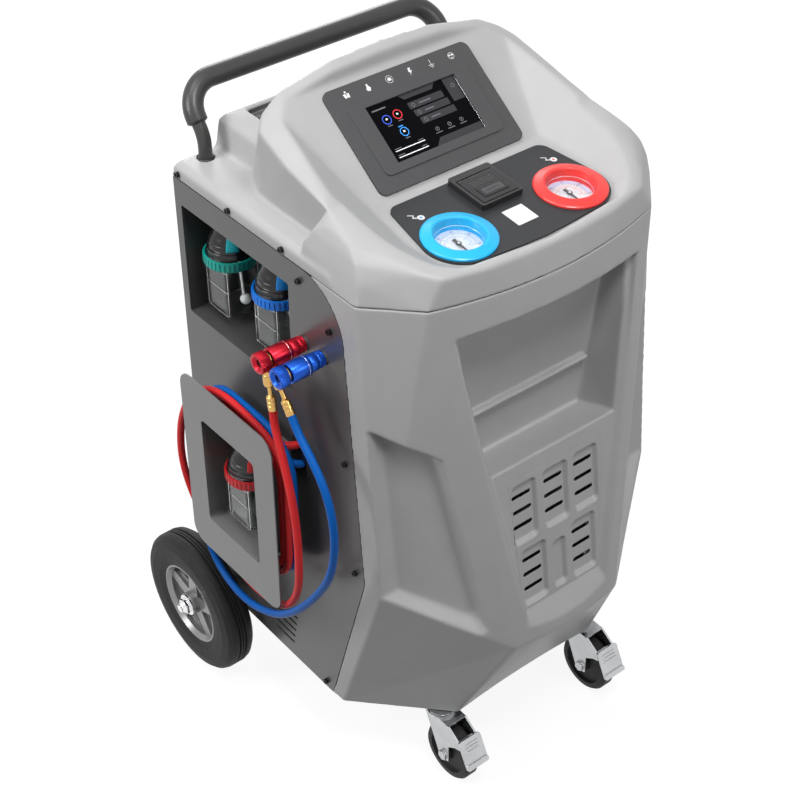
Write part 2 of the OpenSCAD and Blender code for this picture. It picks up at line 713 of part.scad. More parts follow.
module rim(s) {
  color("darkgray") wheel_frame(s) difference() {
    union() {
      rotate_extrude() polygon([
        [rim_r - 5, 6], [rim_r, 4.5], [rim_r, tyre_w - 4.5], [rim_r - 3, tyre_w - 4], [rim_r - 8, tyre_w - 12],
        [rim_r - 8, 14]
      ]);
      translate([0, 0, tyre_w - 30]) cylinder(r = rim_r - 6, h = 8);
      translate([0, 0, fit]) cylinder(r = 20, h = tyre_w - 3 - fit);
      for (k = [0 : spokes - 1]) rotate(k * 360 / spokes) translate([0, 0, tyre_w - 23]) linear_extrude(9)
        polygon([[14, -13], [rim_r - 7, -9], [rim_r - 7, 9], [14, 13]]);
    }
    cylinder(d = axle_d + 2 * run, h = 300, center = true);
    for (k = [0 : spokes - 1]) rotate((k + 0.5) * 360 / spokes) translate([44, 0, 0]) cylinder(r = 12, h = tyre_w);
  }
}
module left_rim() { rim(-1); }
module right_rim() { rim(1); }

// Casters: a stem in the base, a swivelling fork, a wheel on its bolt and a brake pedal
stem_d = 12;
head_d = 46;
fork_t = 3;
fork_gap = 2;
fork_top = base_z - 18;
bolt_d = 10;
cheek_x = caster_w / 2 + fork_gap;
pedal_y = -caster_trail - 30;
pedal_z = 98;
pedal_pin_d = 6;
module caster_frame(s) {
  translate([s * caster_x, caster_y, 0]) children();
}
module caster_stems() {
  color("silver") for (s = [-1, 1]) caster_frame(s) {
    translate([0, 0, fork_top + fit]) cylinder(d1 = head_d - 8, d2 = head_d, h = skirt_z - fork_top - 2 * fit);
    translate([0, 0, skirt_z - fit]) cylinder(d = 18, h = base_z - skirt_z + fit);
    translate([0, 0, fork_top - fork_t - 6]) cylinder(d = stem_d, h = base_z + base_t + 4 - fork_top + fork_t + 6);
    translate([0, 0, floor_z]) cylinder(r = 9, h = 8, $fn = 6);
    translate([0, 0, fork_top - fork_t - 6]) cylinder(d = 18, h = 6 - fit);
  }
}
module caster_fork(s) {
  color("silver") caster_frame(s) {
    difference() {
      union() {
        translate([0, 0, fork_top - fork_t]) cylinder(d = head_d, h = fork_t);
        translate([-cheek_x - fork_t, -caster_trail - 8, fork_top - fork_t])
          cube([2 * (cheek_x + fork_t), caster_trail + 24, fork_t]);
        for (k = [-1, 1]) translate([k * (cheek_x + fork_t / 2), 0, 0]) rotate([90, 0, 90]) linear_extrude(fork_t, center = true)
          polygon([
            [20, fork_top], [-caster_trail - 8, fork_top], [pedal_y - 3, pedal_z + 8], [pedal_y - 8, pedal_z - 6],
            [pedal_y + 4, pedal_z - 10], [-caster_trail - 10, 76], [-caster_trail - 11, caster_r - 8],
            [-caster_trail, caster_r - 13], [-caster_trail + 11, caster_r - 8]
          ]);
      }
      cylinder(d = stem_d + 2 * run, h = 400, center = true);
      x_rod([0, -caster_trail, caster_r], bolt_d + 0.2, 200);
      x_rod([0, pedal_y, pedal_z], pedal_pin_d + 2 * run, 200);
    }
    x_rod([0, -caster_trail, caster_r], bolt_d, 2 * (cheek_x + fork_t) + 2);
    for (k = [-1, 1]) translate([k * (cheek_x + fork_t + 0.1), -caster_trail, caster_r]) rotate([0, k * 90, 0])
      cylinder(r = 9, h = 5, $fn = 6);
  }
}
module left_caster_fork() { caster_fork(-1); }
module right_caster_fork() { caster_fork(1); }
module caster_wheel(s) {
  color("#1c1c1c") caster_frame(s) translate([0, -caster_trail, caster_r]) rotate([0, 90, 0]) rotate_extrude($fn = 80) polygon([
    [bolt_d / 2 + run, -caster_w / 2 - 1], [12, -caster_w / 2 - 1], [13, -caster_w / 2 + 4], [caster_r - 15, -caster_w / 2 + 5],
    [caster_r - 13, -caster_w / 2], [caster_r - 3, -caster_w / 2 + 1], [caster_r, -caster_w / 2 + 5], [caster_r, caster_w / 2 - 5],
    [caster_r - 3, caster_w / 2 - 1], [caster_r - 13, caster_w / 2], [caster_r - 15, caster_w / 2 - 5], [13, caster_w / 2 - 4],
    [12, caster_w / 2 + 1], [bolt_d / 2 + run, caster_w / 2 + 1]
  ]);
}
module left_caster_wheel() { caster_wheel(-1); }
module right_caster_wheel() { caster_wheel(1); }
pedal_w = 2 * cheek_x - 1;
module caster_pedal(s) {
  color("gainsboro") caster_frame(s) translate([0, pedal_y, pedal_z]) {
    x_rod([0, 0, 0], pedal_pin_d, 2 * (cheek_x + fork_t) - 0.4);
    rotate([62, 0, 0]) translate([0, -18, 10]) {
      linear_extrude(3) rounded_rect(pedal_w + 12, 52, 5);
      for (k = [0 : 2]) translate([0, 4 + k * 6, 3]) linear_extrude(1.5) stadium(pedal_w - 4, 3);
      translate([0, -21, 1]) linear_extrude(4.5) rounded_rect(pedal_w + 12, 9, 3);
    }
    translate([-pedal_w / 2 + 2, -11, -4]) cube([pedal_w - 4, 13, 8]);
  }
}
module left_caster_pedal() { caster_pedal(-1); }
module right_caster_pedal() { caster_pedal(1); }

// Socket screws of the two panels as [y, z]
screw_spots = [
  [239, 935], [113, 935], [-13, 935], [-49, 903], [-116, 857], [-143, 643], [-161, 445], [-78, 142]
];
module panel_screws() {
  color("#151515") for (p = screw_spots, s = [-1, 1])
    translate([s * half_w, p[0], p[1]]) rotate([0, s * 90, 0]) difference() {
      cylinder(d = 9, h = 5);
      translate([0, 0, 2]) cylinder(d = 5, h = 4, $fn = 6);
    }
}

// Bottle bay, hanger tunnel and their bottles
bay_depth = 108;
bay_t = 1.5;
module bottle_pocket() {
  color("#4a4b4d") translate([-half_w + sheet + fit, bay_y0 - bay_t, bay_z0 - bay_t]) difference() {
    cube([bay_depth, bay_y1 - bay_y0 + 2 * bay_t, bay_z1 - bay_z0 + 2 * bay_t]);
    translate([-1, bay_t, bay_t]) cube([bay_depth - bay_t + 1, bay_y1 - bay_y0, bay_z1 - bay_z0]);
  }
}
tunnel_back = -198;
hanger_y = 55;
hanger_z = 493;
module hose_hanger() {
  color("dimgray") {
    on_side(-hanger_x, sheet) difference() {
      translate([hanger_y, hanger_z]) rounded_rect(hanger_w, hanger_h, 28);
      translate([(tunnel_y0 + tunnel_y1) / 2, (tunnel_z0 + tunnel_z1) / 2])
        rounded_rect(tunnel_y1 - tunnel_y0, tunnel_z1 - tunnel_z0, 8);
    }
    difference() {
      on_side(-hanger_x + eps, hanger_x + tunnel_back) translate([(tunnel_y0 + tunnel_y1) / 2, (tunnel_z0 + tunnel_z1) / 2])
        rounded_rect(tunnel_y1 - tunnel_y0 + 2 * sheet, tunnel_z1 - tunnel_z0 + 2 * sheet, 10);
      on_side(-hanger_x - 1, hanger_x + tunnel_back - sheet + 1) translate([(tunnel_y0 + tunnel_y1) / 2, (tunnel_z0 + tunnel_z1) / 2])
        rounded_rect(tunnel_y1 - tunnel_y0, tunnel_z1 - tunnel_z0, 8);
    }
  }
}
module hose_grommet() {
  color("#101010") difference() {
    union() {
      on_side(-half_w - 3, 3) translate([grommet_y, grommet_z]) rounded_rect(grommet_w + 6, grommet_h + 6, grommet_w / 2 + 2);
      on_side(-half_w - 1, sheet + 4) translate([grommet_y, grommet_z])
        rounded_rect(grommet_w - 2 * fit, grommet_h - 2 * fit, grommet_w / 2 - fit - eps);
    }
    for (p = [red_lead[0], blue_lead[0]]) x_rod([-half_w, p[1], p[2]], hose_d + 4, 40);
  }
}
// Bottles as [x, y, height of the collar's middle, height of the ceiling that the head hangs from]
green_bottle = [-222, 190, 805, bay_z1];
blue_bottle = [-222, 66, 805, bay_z1];
red_bottle = [-292, 66, 505, tunnel_z1];
collar_h = 16;
jar_w = 58;
module bottle_frame(b) {
  translate([b[0], b[1], b[2]]) children();
}
module bottle_heads() {
  color("#1a1a1c") for (b = [green_bottle, blue_bottle, red_bottle]) bottle_frame(b) {
    rotate_extrude() polygon([
      [0, collar_h / 2], [collar_r - 5, collar_h / 2], [collar_r - 6, 18], [collar_r - 9, 22], [collar_r - 9, 30],
      [26, 40], [24, 52], [20, 58], [0, 58]
    ]);
    translate([0, 0, 56]) cylinder(d = 22, h = b[3] - b[2] - 56);
  }
}
collar_ribs = 36;
flange_t = 3;
flange_r = collar_r - 4.2;
flange_z = collar_h / 2 - fit - flange_t;
module bottle_collar(b, c) {
  color(c) bottle_frame(b) difference() {
    union() {
      cylinder(r = collar_r - 1, h = collar_h - 2 * fit, center = true);
      for (k = [0 : collar_ribs - 1]) rotate(k * 360 / collar_ribs) translate([collar_r - 1.5, 0, 0])
        cube([3, 3, collar_h - 4], center = true);
    }
    translate([0, 0, flange_z - fit]) cylinder(r = flange_r + 0.2, h = 40);
    cylinder(r = flange_r - 0.7, h = 40, center = true);
  }
}
module green_collar() { bottle_collar(green_bottle, "lightseagreen"); }
module blue_collar() { bottle_collar(blue_bottle, "dodgerblue"); }
module red_collar() { bottle_collar(red_bottle, "firebrick"); }
module bottle_jar(b) {
  color("lightgray", 0.5) bottle_frame(b) {
    difference() {
      translate([0, 0, flange_z]) cylinder(r = flange_r, h = flange_t);
      cylinder(r = jar_w / 2 - 3, h = 40, center = true);
    }
    translate([0, 0, -jar_h - 1]) difference() {
      linear_extrude(jar_h + 1 + flange_z + flange_t / 2) rounded_rect(jar_w, jar_w, 10);
      translate([0, 0, 2.5]) linear_extrude(200) rounded_rect(jar_w - 5, jar_w - 5, 8);
    }
  }
}
module green_jar() { bottle_jar(green_bottle); }
module blue_jar() { bottle_jar(blue_bottle); }
module red_jar() { bottle_jar(red_bottle); }

// Couplers along -X, parked on posts: distances run out from the panel
core_d = 20;
sleeve_in = 13;
sleeve_out = 50;
knob_in = 63;
knob_out = 79;
port_x = 58;
stub_d = 12;
// Turn of each port and of each ferrule about the coupler's axis, from straight down towards the front
red_turns = [-8, 8];
blue_turns = [-42, 34];
port_l = 38;
elbow_r = 8;
neck_l = 28;
ferrule_l = 22;
tail_l = neck_l + ferrule_l;
module port_frame(y, turns) {
  translate([-half_w - port_x, y, post_z]) rotate([-turns[0], 0, 0]) children();
}
module tail_frame(y, turns) {
  port_frame(y, turns) translate([0, 0, -port_l]) rotate([turns[0] - turns[1], 0, 0]) children();
}
module coupler_frame(y) {
  translate([-half_w, y, post_z]) rotate([0, -90, 0]) children();
}
module coupler_posts() {
  color("silver") for (y = [red_post_y, blue_post_y]) coupler_frame(y) {
    translate([0, 0, -12]) cylinder(d = post_d, h = 34);
    translate([0, 0, fit]) cylinder(d = 21, h = 3);
    translate([0, 0, -sheet - 6 - fit]) cylinder(r = 10, h = 6, $fn = 6);
  }
}
module coupler_cores() {
  color("#2a2a2a") for (y = [red_post_y, blue_post_y]) {
    coupler_frame(y) difference() {
      union() {
        translate([0, 0, 4]) cylinder(d = core_d, h = knob_in - 4 - fit);
        cylinder(d = stub_d, h = knob_out - 6);
      }
      translate([0, 0, -1]) cylinder(d = post_d + 0.2, h = 24);
    }
    port_frame(y, y == red_post_y ? red_turns : blue_turns) translate([0, 0, -port_l + 20]) cylinder(d = 8, h = port_l - 20);
  }
}
module coupler_sleeve(y, c) {
  color(c) coupler_frame(y) difference() {
    rotate_extrude() polygon([
      [core_d / 2 + run, sleeve_in], [12, sleeve_in], [15.5, sleeve_in + 3], [15.5, sleeve_in + 13], [14, sleeve_in + 14],
      [14, sleeve_out - 1], [13, sleeve_out], [core_d / 2 + run, sleeve_out]
    ]);
  }
}
module red_coupler_sleeve() { coupler_sleeve(red_post_y, "crimson"); }
module blue_coupler_sleeve() { coupler_sleeve(blue_post_y, "royalblue"); }
module coupler_knob(y, c) {
  color(c) coupler_frame(y) rotate_extrude() polygon([
    [stub_d / 2 + run, knob_in], [14.5, knob_in], [15.5, knob_in + 1], [15.5, knob_out - 1], [14.5, knob_out],
    [9, knob_out], [7, knob_out - 4], [stub_d / 2 + run, knob_out - 4]
  ]);
}
module red_coupler_knob() { coupler_knob(red_post_y, "crimson"); }
module blue_coupler_knob() { coupler_knob(blue_post_y, "royalblue"); }

// Brass elbows under the couplers and the ferrules of the hoses
module hose_fitting(y, turns) {
  port_frame(y, turns) {
    translate([0, 0, -port_l]) cylinder(r = elbow_r, h = 10);
    translate([0, 0, -port_l + 10]) cylinder(r = elbow_r + 1, h = 10, $fn = 6);
  }
  tail_frame(y, turns) {
    sphere(elbow_r);
    translate([0, 0, -12]) cylinder(r = elbow_r, h = 12);
    translate([0, 0, -neck_l - 1]) cylinder(d = 7, h = neck_l);
    translate([0, 0, -tail_l]) cylinder(d = hose_d + 2, h = ferrule_l);
  }
}
module hose_fittings() {
  color("goldenrod") {
    hose_fitting(red_post_y, red_turns);
    hose_fitting(blue_post_y, blue_turns);
  }
}

// Hose routes, chosen by hand: from the grommet to the winding and from the winding to the ferrule
function tail_end(y, turns) = [
  -half_w - port_x,
  y - port_l * sin(turns[0]) - tail_l * sin(turns[1]),
  post_z - port_l * cos(turns[0]) - tail_l * cos(turns[1])
];
red_tail = [
  tail_end(red_post_y, red_turns), [-331, -62, 692], [-334, -80, 655], [-336, -103, 585], [-336, -111, 520], [-336, -111, 465],
  [-332, -101, 405], [-327, -70, 345], [-323, -25, 310], [-320, 40, 296], [-316, 110, 302], [-316, 160, 324], [-318, 203, 372],
  [-320, 222, 425], [-320, 224, 475], [-320, 212, 532], [-320, 182, 588], [-318, 142, 628], [-315, 98, 643],
  [-313, 58, 641], [-312, 20, 635]
];
blue_tail = [
  tail_end(blue_post_y, blue_turns), [-330, -118, 712], [-333, -150, 690], [-335, -182, 655], [-336, -199, 610], [-336, -200, 555],
  [-336, -188, 500], [-336, -162, 448], [-338, -122, 388], [-338, -78, 338], [-337, -30, 301], [-335, 34, 274], [-334, 90, 278],
  [-331, 134, 300], [-329, 160, 345], [-325, 171, 395], [-315, 173, 440], [-305, 170, 480], [-300, 167, 510]
];
red_lead = [
  [-262, -31, 606], [-274, -30, 606.5], [-286, -26, 609], [-296, -18, 612], [-304, -8, 613], [-310, 5, 612], [-312, 18, 611]
];
blue_lead = [
  [-262, -42, 576], [-273, -40.5, 577], [-284, -36, 580.5], [-292, -30, 586], [-298, -21, 592.5], [-300, -12, 601]
];
tube_sides = 10;
function unit(v) = v / norm(v);
// Closed tube of diameter d swept along points
module swept_tube(points, d) {
  last = len(points) - 1;
  rings = [
    for (i = [0 : last]) let (
      along = unit(points[min(i + 1, last)] - points[max(i - 1, 0)]),
      side = unit(cross(along, [1, 0.2, 0])),
      up = cross(side, along)
    ) [for (k = [0 : tube_sides - 1]) let (a = -k * 360 / tube_sides)
      points[i] + d / 2 * (cos(a) * side + sin(a) * up)]
  ];
  loft(rings);
}
// Points on a smooth curve through a route, n spans between neighbours
function smooth_route(p, n) = let (last = len(p) - 1) concat(
  [for (i = [0 : last - 1], k = [0 : n - 1]) let (
    t = k / n,
    a = p[max(i - 1, 0)], b = p[i], c = p[i + 1], d = p[min(i + 2, last)]
  ) 0.5 * (2 * b + (c - a) * t + (2 * a - 5 * b + 4 * c - d) * t * t + (3 * b - a - 3 * c + d) * t * t * t)],
  [p[last]]
);
module red_hose() {
  color("red") {
    swept_tube(smooth_route(red_tail, 2), hose_d);
    swept_tube(red_lead, hose_d);
  }
}
module blue_hose() {
  color("blue") {
    swept_tube(smooth_route(blue_tail, 2), hose_d);
    swept_tube(blue_lead, hose_d);
  }
}
coil_x = -318;
coil_w = 2 * hose_d + 0.5;
coil_gap = 9.6;
coil_t = 30.4;
coil_r = 42;
module hose_coil() {
  w = tunnel_y1 - tunnel_y0 + 2 * (sheet + coil_gap);
  h = tunnel_z1 - tunnel_z0 + 2 * (sheet + coil_gap);
  color("purple") on_side(coil_x, coil_w) translate([(tunnel_y0 + tunnel_y1) / 2, (tunnel_z0 + tunnel_z1) / 2]) difference() {
    rounded_rect(w + 2 * coil_t, h + 2 * coil_t, coil_r + coil_t);
    rounded_rect(w, h, coil_r);
  }
}

// Inner equipment
tank_r = 112;
tank_y = 118;
tank_x = 60;
tank_h = 300;
scale_h = 26;
module tank_scale() {
  color("#8a8d90") translate([tank_x, tank_y, floor_z]) {
    for (x = [-1, 1], y = [-1, 1]) translate([x * 90, y * 90, 0]) cylinder(r = 10, h = 8);
    translate([0, 0, 8]) linear_extrude(scale_h - 8) rounded_rect(226, 226, 12);
  }
}
module refrigerant_tank() {
  color("steelblue") translate([tank_x, tank_y, floor_z + scale_h]) {
    rotate_extrude() polygon([
      [0, 10], [70, 0], [84, 0], [tank_r - 8, 20], [tank_r, 40], [tank_r, tank_h - 40], [tank_r - 14, tank_h - 12],
      [60, tank_h], [0, tank_h + 4]
    ]);
    translate([0, 0, tank_h]) cylinder(d = 36, h = 40);
    x_rod([0, 0, tank_h + 28], 20, 110);
  }
}
module compressor() {
  color("#222428") translate([-150, -10, floor_z]) {
    linear_extrude(6) rounded_rect(150, 150, 16);
    translate([0, 0, 6]) rotate_extrude() polygon([
      [0, 0], [50, 0], [66, 12], [70, 30], [70, 120], [66, 142], [48, 160], [0, 168]
    ]);
    translate([0, 0, 160]) cylinder(d = 18, h = 50);
  }
}
module vacuum_pump() {
  color("#3b4a58") translate([150, -70, floor_z]) {
    linear_extrude(8) rounded_rect(130, 100, 10);
    translate([0, 0, 70]) rotate([0, 90, 0]) cylinder(d = 100, h = 120, center = true);
    translate([-40, -40, 8]) cube([80, 80, 40]);
    translate([-62, -45, 100]) cube([50, 90, 60]);
  }
}
condenser_y = -262;
condenser_w = 200;
condenser_h = 230;
condenser_z = 340;
fan_r = 88;
module condenser() {
  color("#b9bcc0") {
    for (k = [0 : 11]) translate([-condenser_w / 2, condenser_y, condenser_z + 6 + k * (condenser_h - 12) / 11])
      rotate([-90, 0, 0]) translate([0, -3, 0]) cube([condenser_w, 6, 30]);
    for (s = [-1, 1]) translate([s * (condenser_w / 2 - 2) - 2, condenser_y, condenser_z - 6]) cube([4, 62, condenser_h + 6]);
    translate([-condenser_w / 2, condenser_y + 58, condenser_z - 6]) difference() {
      cube([condenser_w, 4, condenser_h + 6]);
      translate([condenser_w / 2, -1, condenser_h / 2]) rotate([-90, 0, 0]) cylinder(r = fan_r + 4, h = 10);
    }
    translate([-condenser_w / 2, condenser_y, condenser_z - 10]) cube([condenser_w, 62, 4]);
    for (s = [-1, 1]) translate([s * 80 - 4, condenser_y + 30, floor_z]) cube([8, 20, condenser_z - 10 - floor_z]);
    translate([-condenser_w / 2, condenser_y + 78, condenser_z + condenser_h / 2 - 10]) cube([condenser_w, 4, 16]);
    for (s = [-1, 1]) translate([s * (condenser_w / 2 - 4) - 4, condenser_y + 61, condenser_z + condenser_h / 2 - 10]) cube([8, 20, 16]);
    translate([0, condenser_y + 82, condenser_z + condenser_h / 2 - 2]) rotate([90, 0, 0]) cylinder(d = 40, h = 22);
    translate([0, condenser_y + 82, condenser_z + condenser_h / 2 - 2]) rotate([90, 0, 0]) cylinder(d = 6, h = 40);
  }
}
fan_z = condenser_z + condenser_h / 2 - 2;
module cooling_fan() {
  color("#202225") translate([0, condenser_y + 56, fan_z]) rotate([90, 0, 0]) difference() {
    union() {
      cylinder(d = 36, h = 16);
      for (k = [0 : 6]) rotate(k * 360 / 7) translate([14, 0, 8]) rotate([28, 0, 0])
        linear_extrude(2, center = true) polygon([[0, -9], [fan_r - 16, -16], [fan_r - 16, 16], [0, 9]]);
    }
    cylinder(d = 6 + 2 * run, h = 60, center = true);
  }
}
module filter_manifold() {
  color("silver") translate([60, 120, shelf_z + sheet / 2]) {
    translate([-110, -30, 0]) cube([220, 60, 40]);
    for (k = [-2 : 2]) translate([k * 42, 0, 40]) {
      cylinder(d = 20, h = 40);
      translate([-15, -15, 12]) cube([30, 30, 26]);
    }
    translate([0, -60, 0]) cylinder(d = 50, h = 130);
    translate([-8, -40, 10]) cube([16, 20, 20]);
  }
}
module power_inlet() {
  color("#111111") translate([-inlet_x, body_rear, inlet_z]) rotate([90, 0, 0]) {
    difference() {
      union() {
        translate([0, 0, -3]) linear_extrude(3 - eps) rounded_rect(inlet_w, inlet_h, 4);
        translate([0, 0, -1]) linear_extrude(34) square([inlet_w - 9, inlet_h - 13], center = true);
      }
      translate([0, -8, -4]) linear_extrude(24) rounded_rect(27, 20, 4);
      translate([0, 15, -4]) linear_extrude(8) square([28, 11], center = true);
    }
    for (x = [-1, 0, 1]) translate([x * 8, -8 + (x == 0 ? 3 : -3), 2]) cube([2, 5, 20], center = false);
  }
}

chassis();
left_side_panel();
right_side_panel();
rear_panel();
front_cover();
top_cover();
panel_screws();
handle_tube();
handle_grip();
rear_axle();
left_tyre();
left_rim();
right_tyre();
right_rim();
caster_stems();
left_caster_fork();
right_caster_fork();
left_caster_wheel();
right_caster_wheel();
left_caster_pedal();
right_caster_pedal();
display_panel();
touch_screen();
instrument_plate();
low_gauge_bezel();
high_gauge_bezel();
gauge_cases();
gauge_glasses();
low_gauge_needle();
high_gauge_needle();
printer_body();
printer_lid();
bottle_pocket();
hose_hanger();
hose_grommet();
bottle_heads();
green_collar();
blue_collar();
red_collar();
green_jar();
blue_jar();
red_jar();
coupler_posts();
coupler_cores();
red_coupler_sleeve();
blue_coupler_sleeve();
red_coupler_knob();
blue_coupler_knob();
hose_fittings();
red_hose();
blue_hose();
hose_coil();
refrigerant_tank();
tank_scale();
compressor();
vacuum_pump();
condenser();
cooling_fan();
filter_manifold();
power_inlet();
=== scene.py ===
"""Wheeled refrigerant recovery and recharge machine: looks, stage, light and camera."""
import math
from contextlib import contextmanager

import bmesh
import bpy
import numpy as np
from mathutils import Matrix, Vector
from mathutils.bvhtree import BVHTree
from mathutils.kdtree import KDTree


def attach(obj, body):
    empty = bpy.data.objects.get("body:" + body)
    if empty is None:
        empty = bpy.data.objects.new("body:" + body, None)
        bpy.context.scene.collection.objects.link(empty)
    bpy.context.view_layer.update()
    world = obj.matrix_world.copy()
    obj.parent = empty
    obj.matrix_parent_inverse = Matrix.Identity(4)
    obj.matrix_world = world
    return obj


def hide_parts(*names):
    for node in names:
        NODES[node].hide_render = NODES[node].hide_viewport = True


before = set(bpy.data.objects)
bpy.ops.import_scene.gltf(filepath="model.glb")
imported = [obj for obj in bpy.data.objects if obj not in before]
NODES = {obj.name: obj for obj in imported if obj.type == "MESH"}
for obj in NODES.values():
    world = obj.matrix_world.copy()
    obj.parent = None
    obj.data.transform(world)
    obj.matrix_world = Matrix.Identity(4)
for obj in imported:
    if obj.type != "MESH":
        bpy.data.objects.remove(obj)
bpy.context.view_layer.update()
MM = 0.001


def placed(name, data):
    obj = bpy.data.objects.new(name, data)
    bpy.context.scene.collection.objects.link(obj)
    return obj


@contextmanager
def editing(mesh):
    """A mesh opened for editing, and written back."""
    bm = bmesh.new()
    bm.from_mesh(mesh)
    yield bm
    bm.to_mesh(mesh)
    bm.free()
    mesh.update()


# Camera, fitted to the photograph
CAMERA_PLACE = (-1.33934, -1.57718, 2.1704)
CAMERA_DOWN = 38.33
CAMERA_TURN = -39.15
CAMERA_LENS = 75.49


def make_camera():
    data = bpy.data.cameras.new("camera")
    data.lens = CAMERA_LENS
    data.sensor_width = 36.0
    data.dof.use_dof = False
    cam = placed("camera", data)
    cam.location = CAMERA_PLACE
    cam.rotation_euler = (math.radians(90 - CAMERA_DOWN), 0.0, math.radians(CAMERA_TURN))
    bpy.context.scene.camera = cam


make_camera()


# Materials
def fill(node, values):
    for key, value in values.items():
        node.inputs[key].default_value = value


def ramp_of(nt, source, low, high):
    ramp = nt.nodes.new("ShaderNodeValToRGB")
    for stop, place, colour in zip(ramp.color_ramp.elements, (0.3, 0.7), (low, high)):
        stop.position = place
        stop.color = (*colour, 1.0)
    nt.links.new(source, ramp.inputs["Fac"])
    return ramp.outputs["Color"]


def noise_of(nt, vector, scale, detail=3.0):
    noise = nt.nodes.new("ShaderNodeTexNoise")
    fill(noise, {"Scale": scale, "Detail": detail})
    nt.links.new(vector, noise.inputs["Vector"])
    return noise.outputs["Fac"]


COAT_ROUGH = 0.12
GRAIN_DEPTH = 0.0004


def finish_of(name, colour, rough, metal=0.0, mottle=0.06, spots=25.0, spread=0.06,
              grain=0.0, grains=900.0, bevel=0.0, coat=0.0):
    """A procedural finish: mottled colour, uneven roughness, fine grain and softened edges."""
    made = bpy.data.materials.new(name)
    made.use_nodes = True
    nt = made.node_tree
    bsdf = nt.nodes["Principled BSDF"]
    vector = nt.nodes.new("ShaderNodeTexCoord").outputs["Object"]
    low = [c * (1 - mottle) for c in colour]
    high = [min(1.0, c * (1 + mottle)) for c in colour]
    nt.links.new(ramp_of(nt, noise_of(nt, vector, spots), low, high), bsdf.inputs["Base Color"])
    uneven = nt.nodes.new("ShaderNodeMapRange")
    fill(uneven, {"To Min": max(0.02, rough - spread), "To Max": min(1.0, rough + spread)})
    nt.links.new(noise_of(nt, vector, spots * 3, 4.0), uneven.inputs["Value"])
    nt.links.new(uneven.outputs["Result"], bsdf.inputs["Roughness"])
    fill(bsdf, {"Metallic": metal, "Coat Weight": coat, "Coat Roughness": COAT_ROUGH})
    normal = None
    if bevel:
        soft = nt.nodes.new("ShaderNodeBevel")
        soft.samples = 6
        soft.inputs["Radius"].default_value = bevel
        normal = soft.outputs["Normal"]
    if grain:
        bump = nt.nodes.new("ShaderNodeBump")
        fill(bump, {"Strength": grain, "Distance": GRAIN_DEPTH})
        nt.links.new(noise_of(nt, vector, grains, 2.0), bump.inputs["Height"])
        if normal:
            nt.links.new(normal, bump.inputs["Normal"])
        normal = bump.outputs["Normal"]
    if normal:
        nt.links.new(normal, bsdf.inputs["Normal"])
    return made


def clear_of(name, colour, rough, ior=1.45):
    made = finish_of(name, colour, rough, mottle=0.02, spots=40.0, spread=0.03)
    fill(made.node_tree.nodes["Principled BSDF"], {"Transmission Weight": 1.0, "IOR": ior})
    return made


def glow_of(name, colour, strength):
    made = finish_of(name, colour, 0.3, mottle=0.08, spots=400.0)
    bsdf = made.node_tree.nodes["Principled BSDF"]
    nt = made.node_tree
    vector = nt.nodes.new("ShaderNodeTexCoord").outputs["Object"]
    low = [c * 0.93 for c in colour]
    nt.links.new(ramp_of(nt, noise_of(nt, vector, 300.0), low, colour), bsdf.inputs["Emission Color"])
    bsdf.inputs["Emission Strength"].default_value = strength
    return made


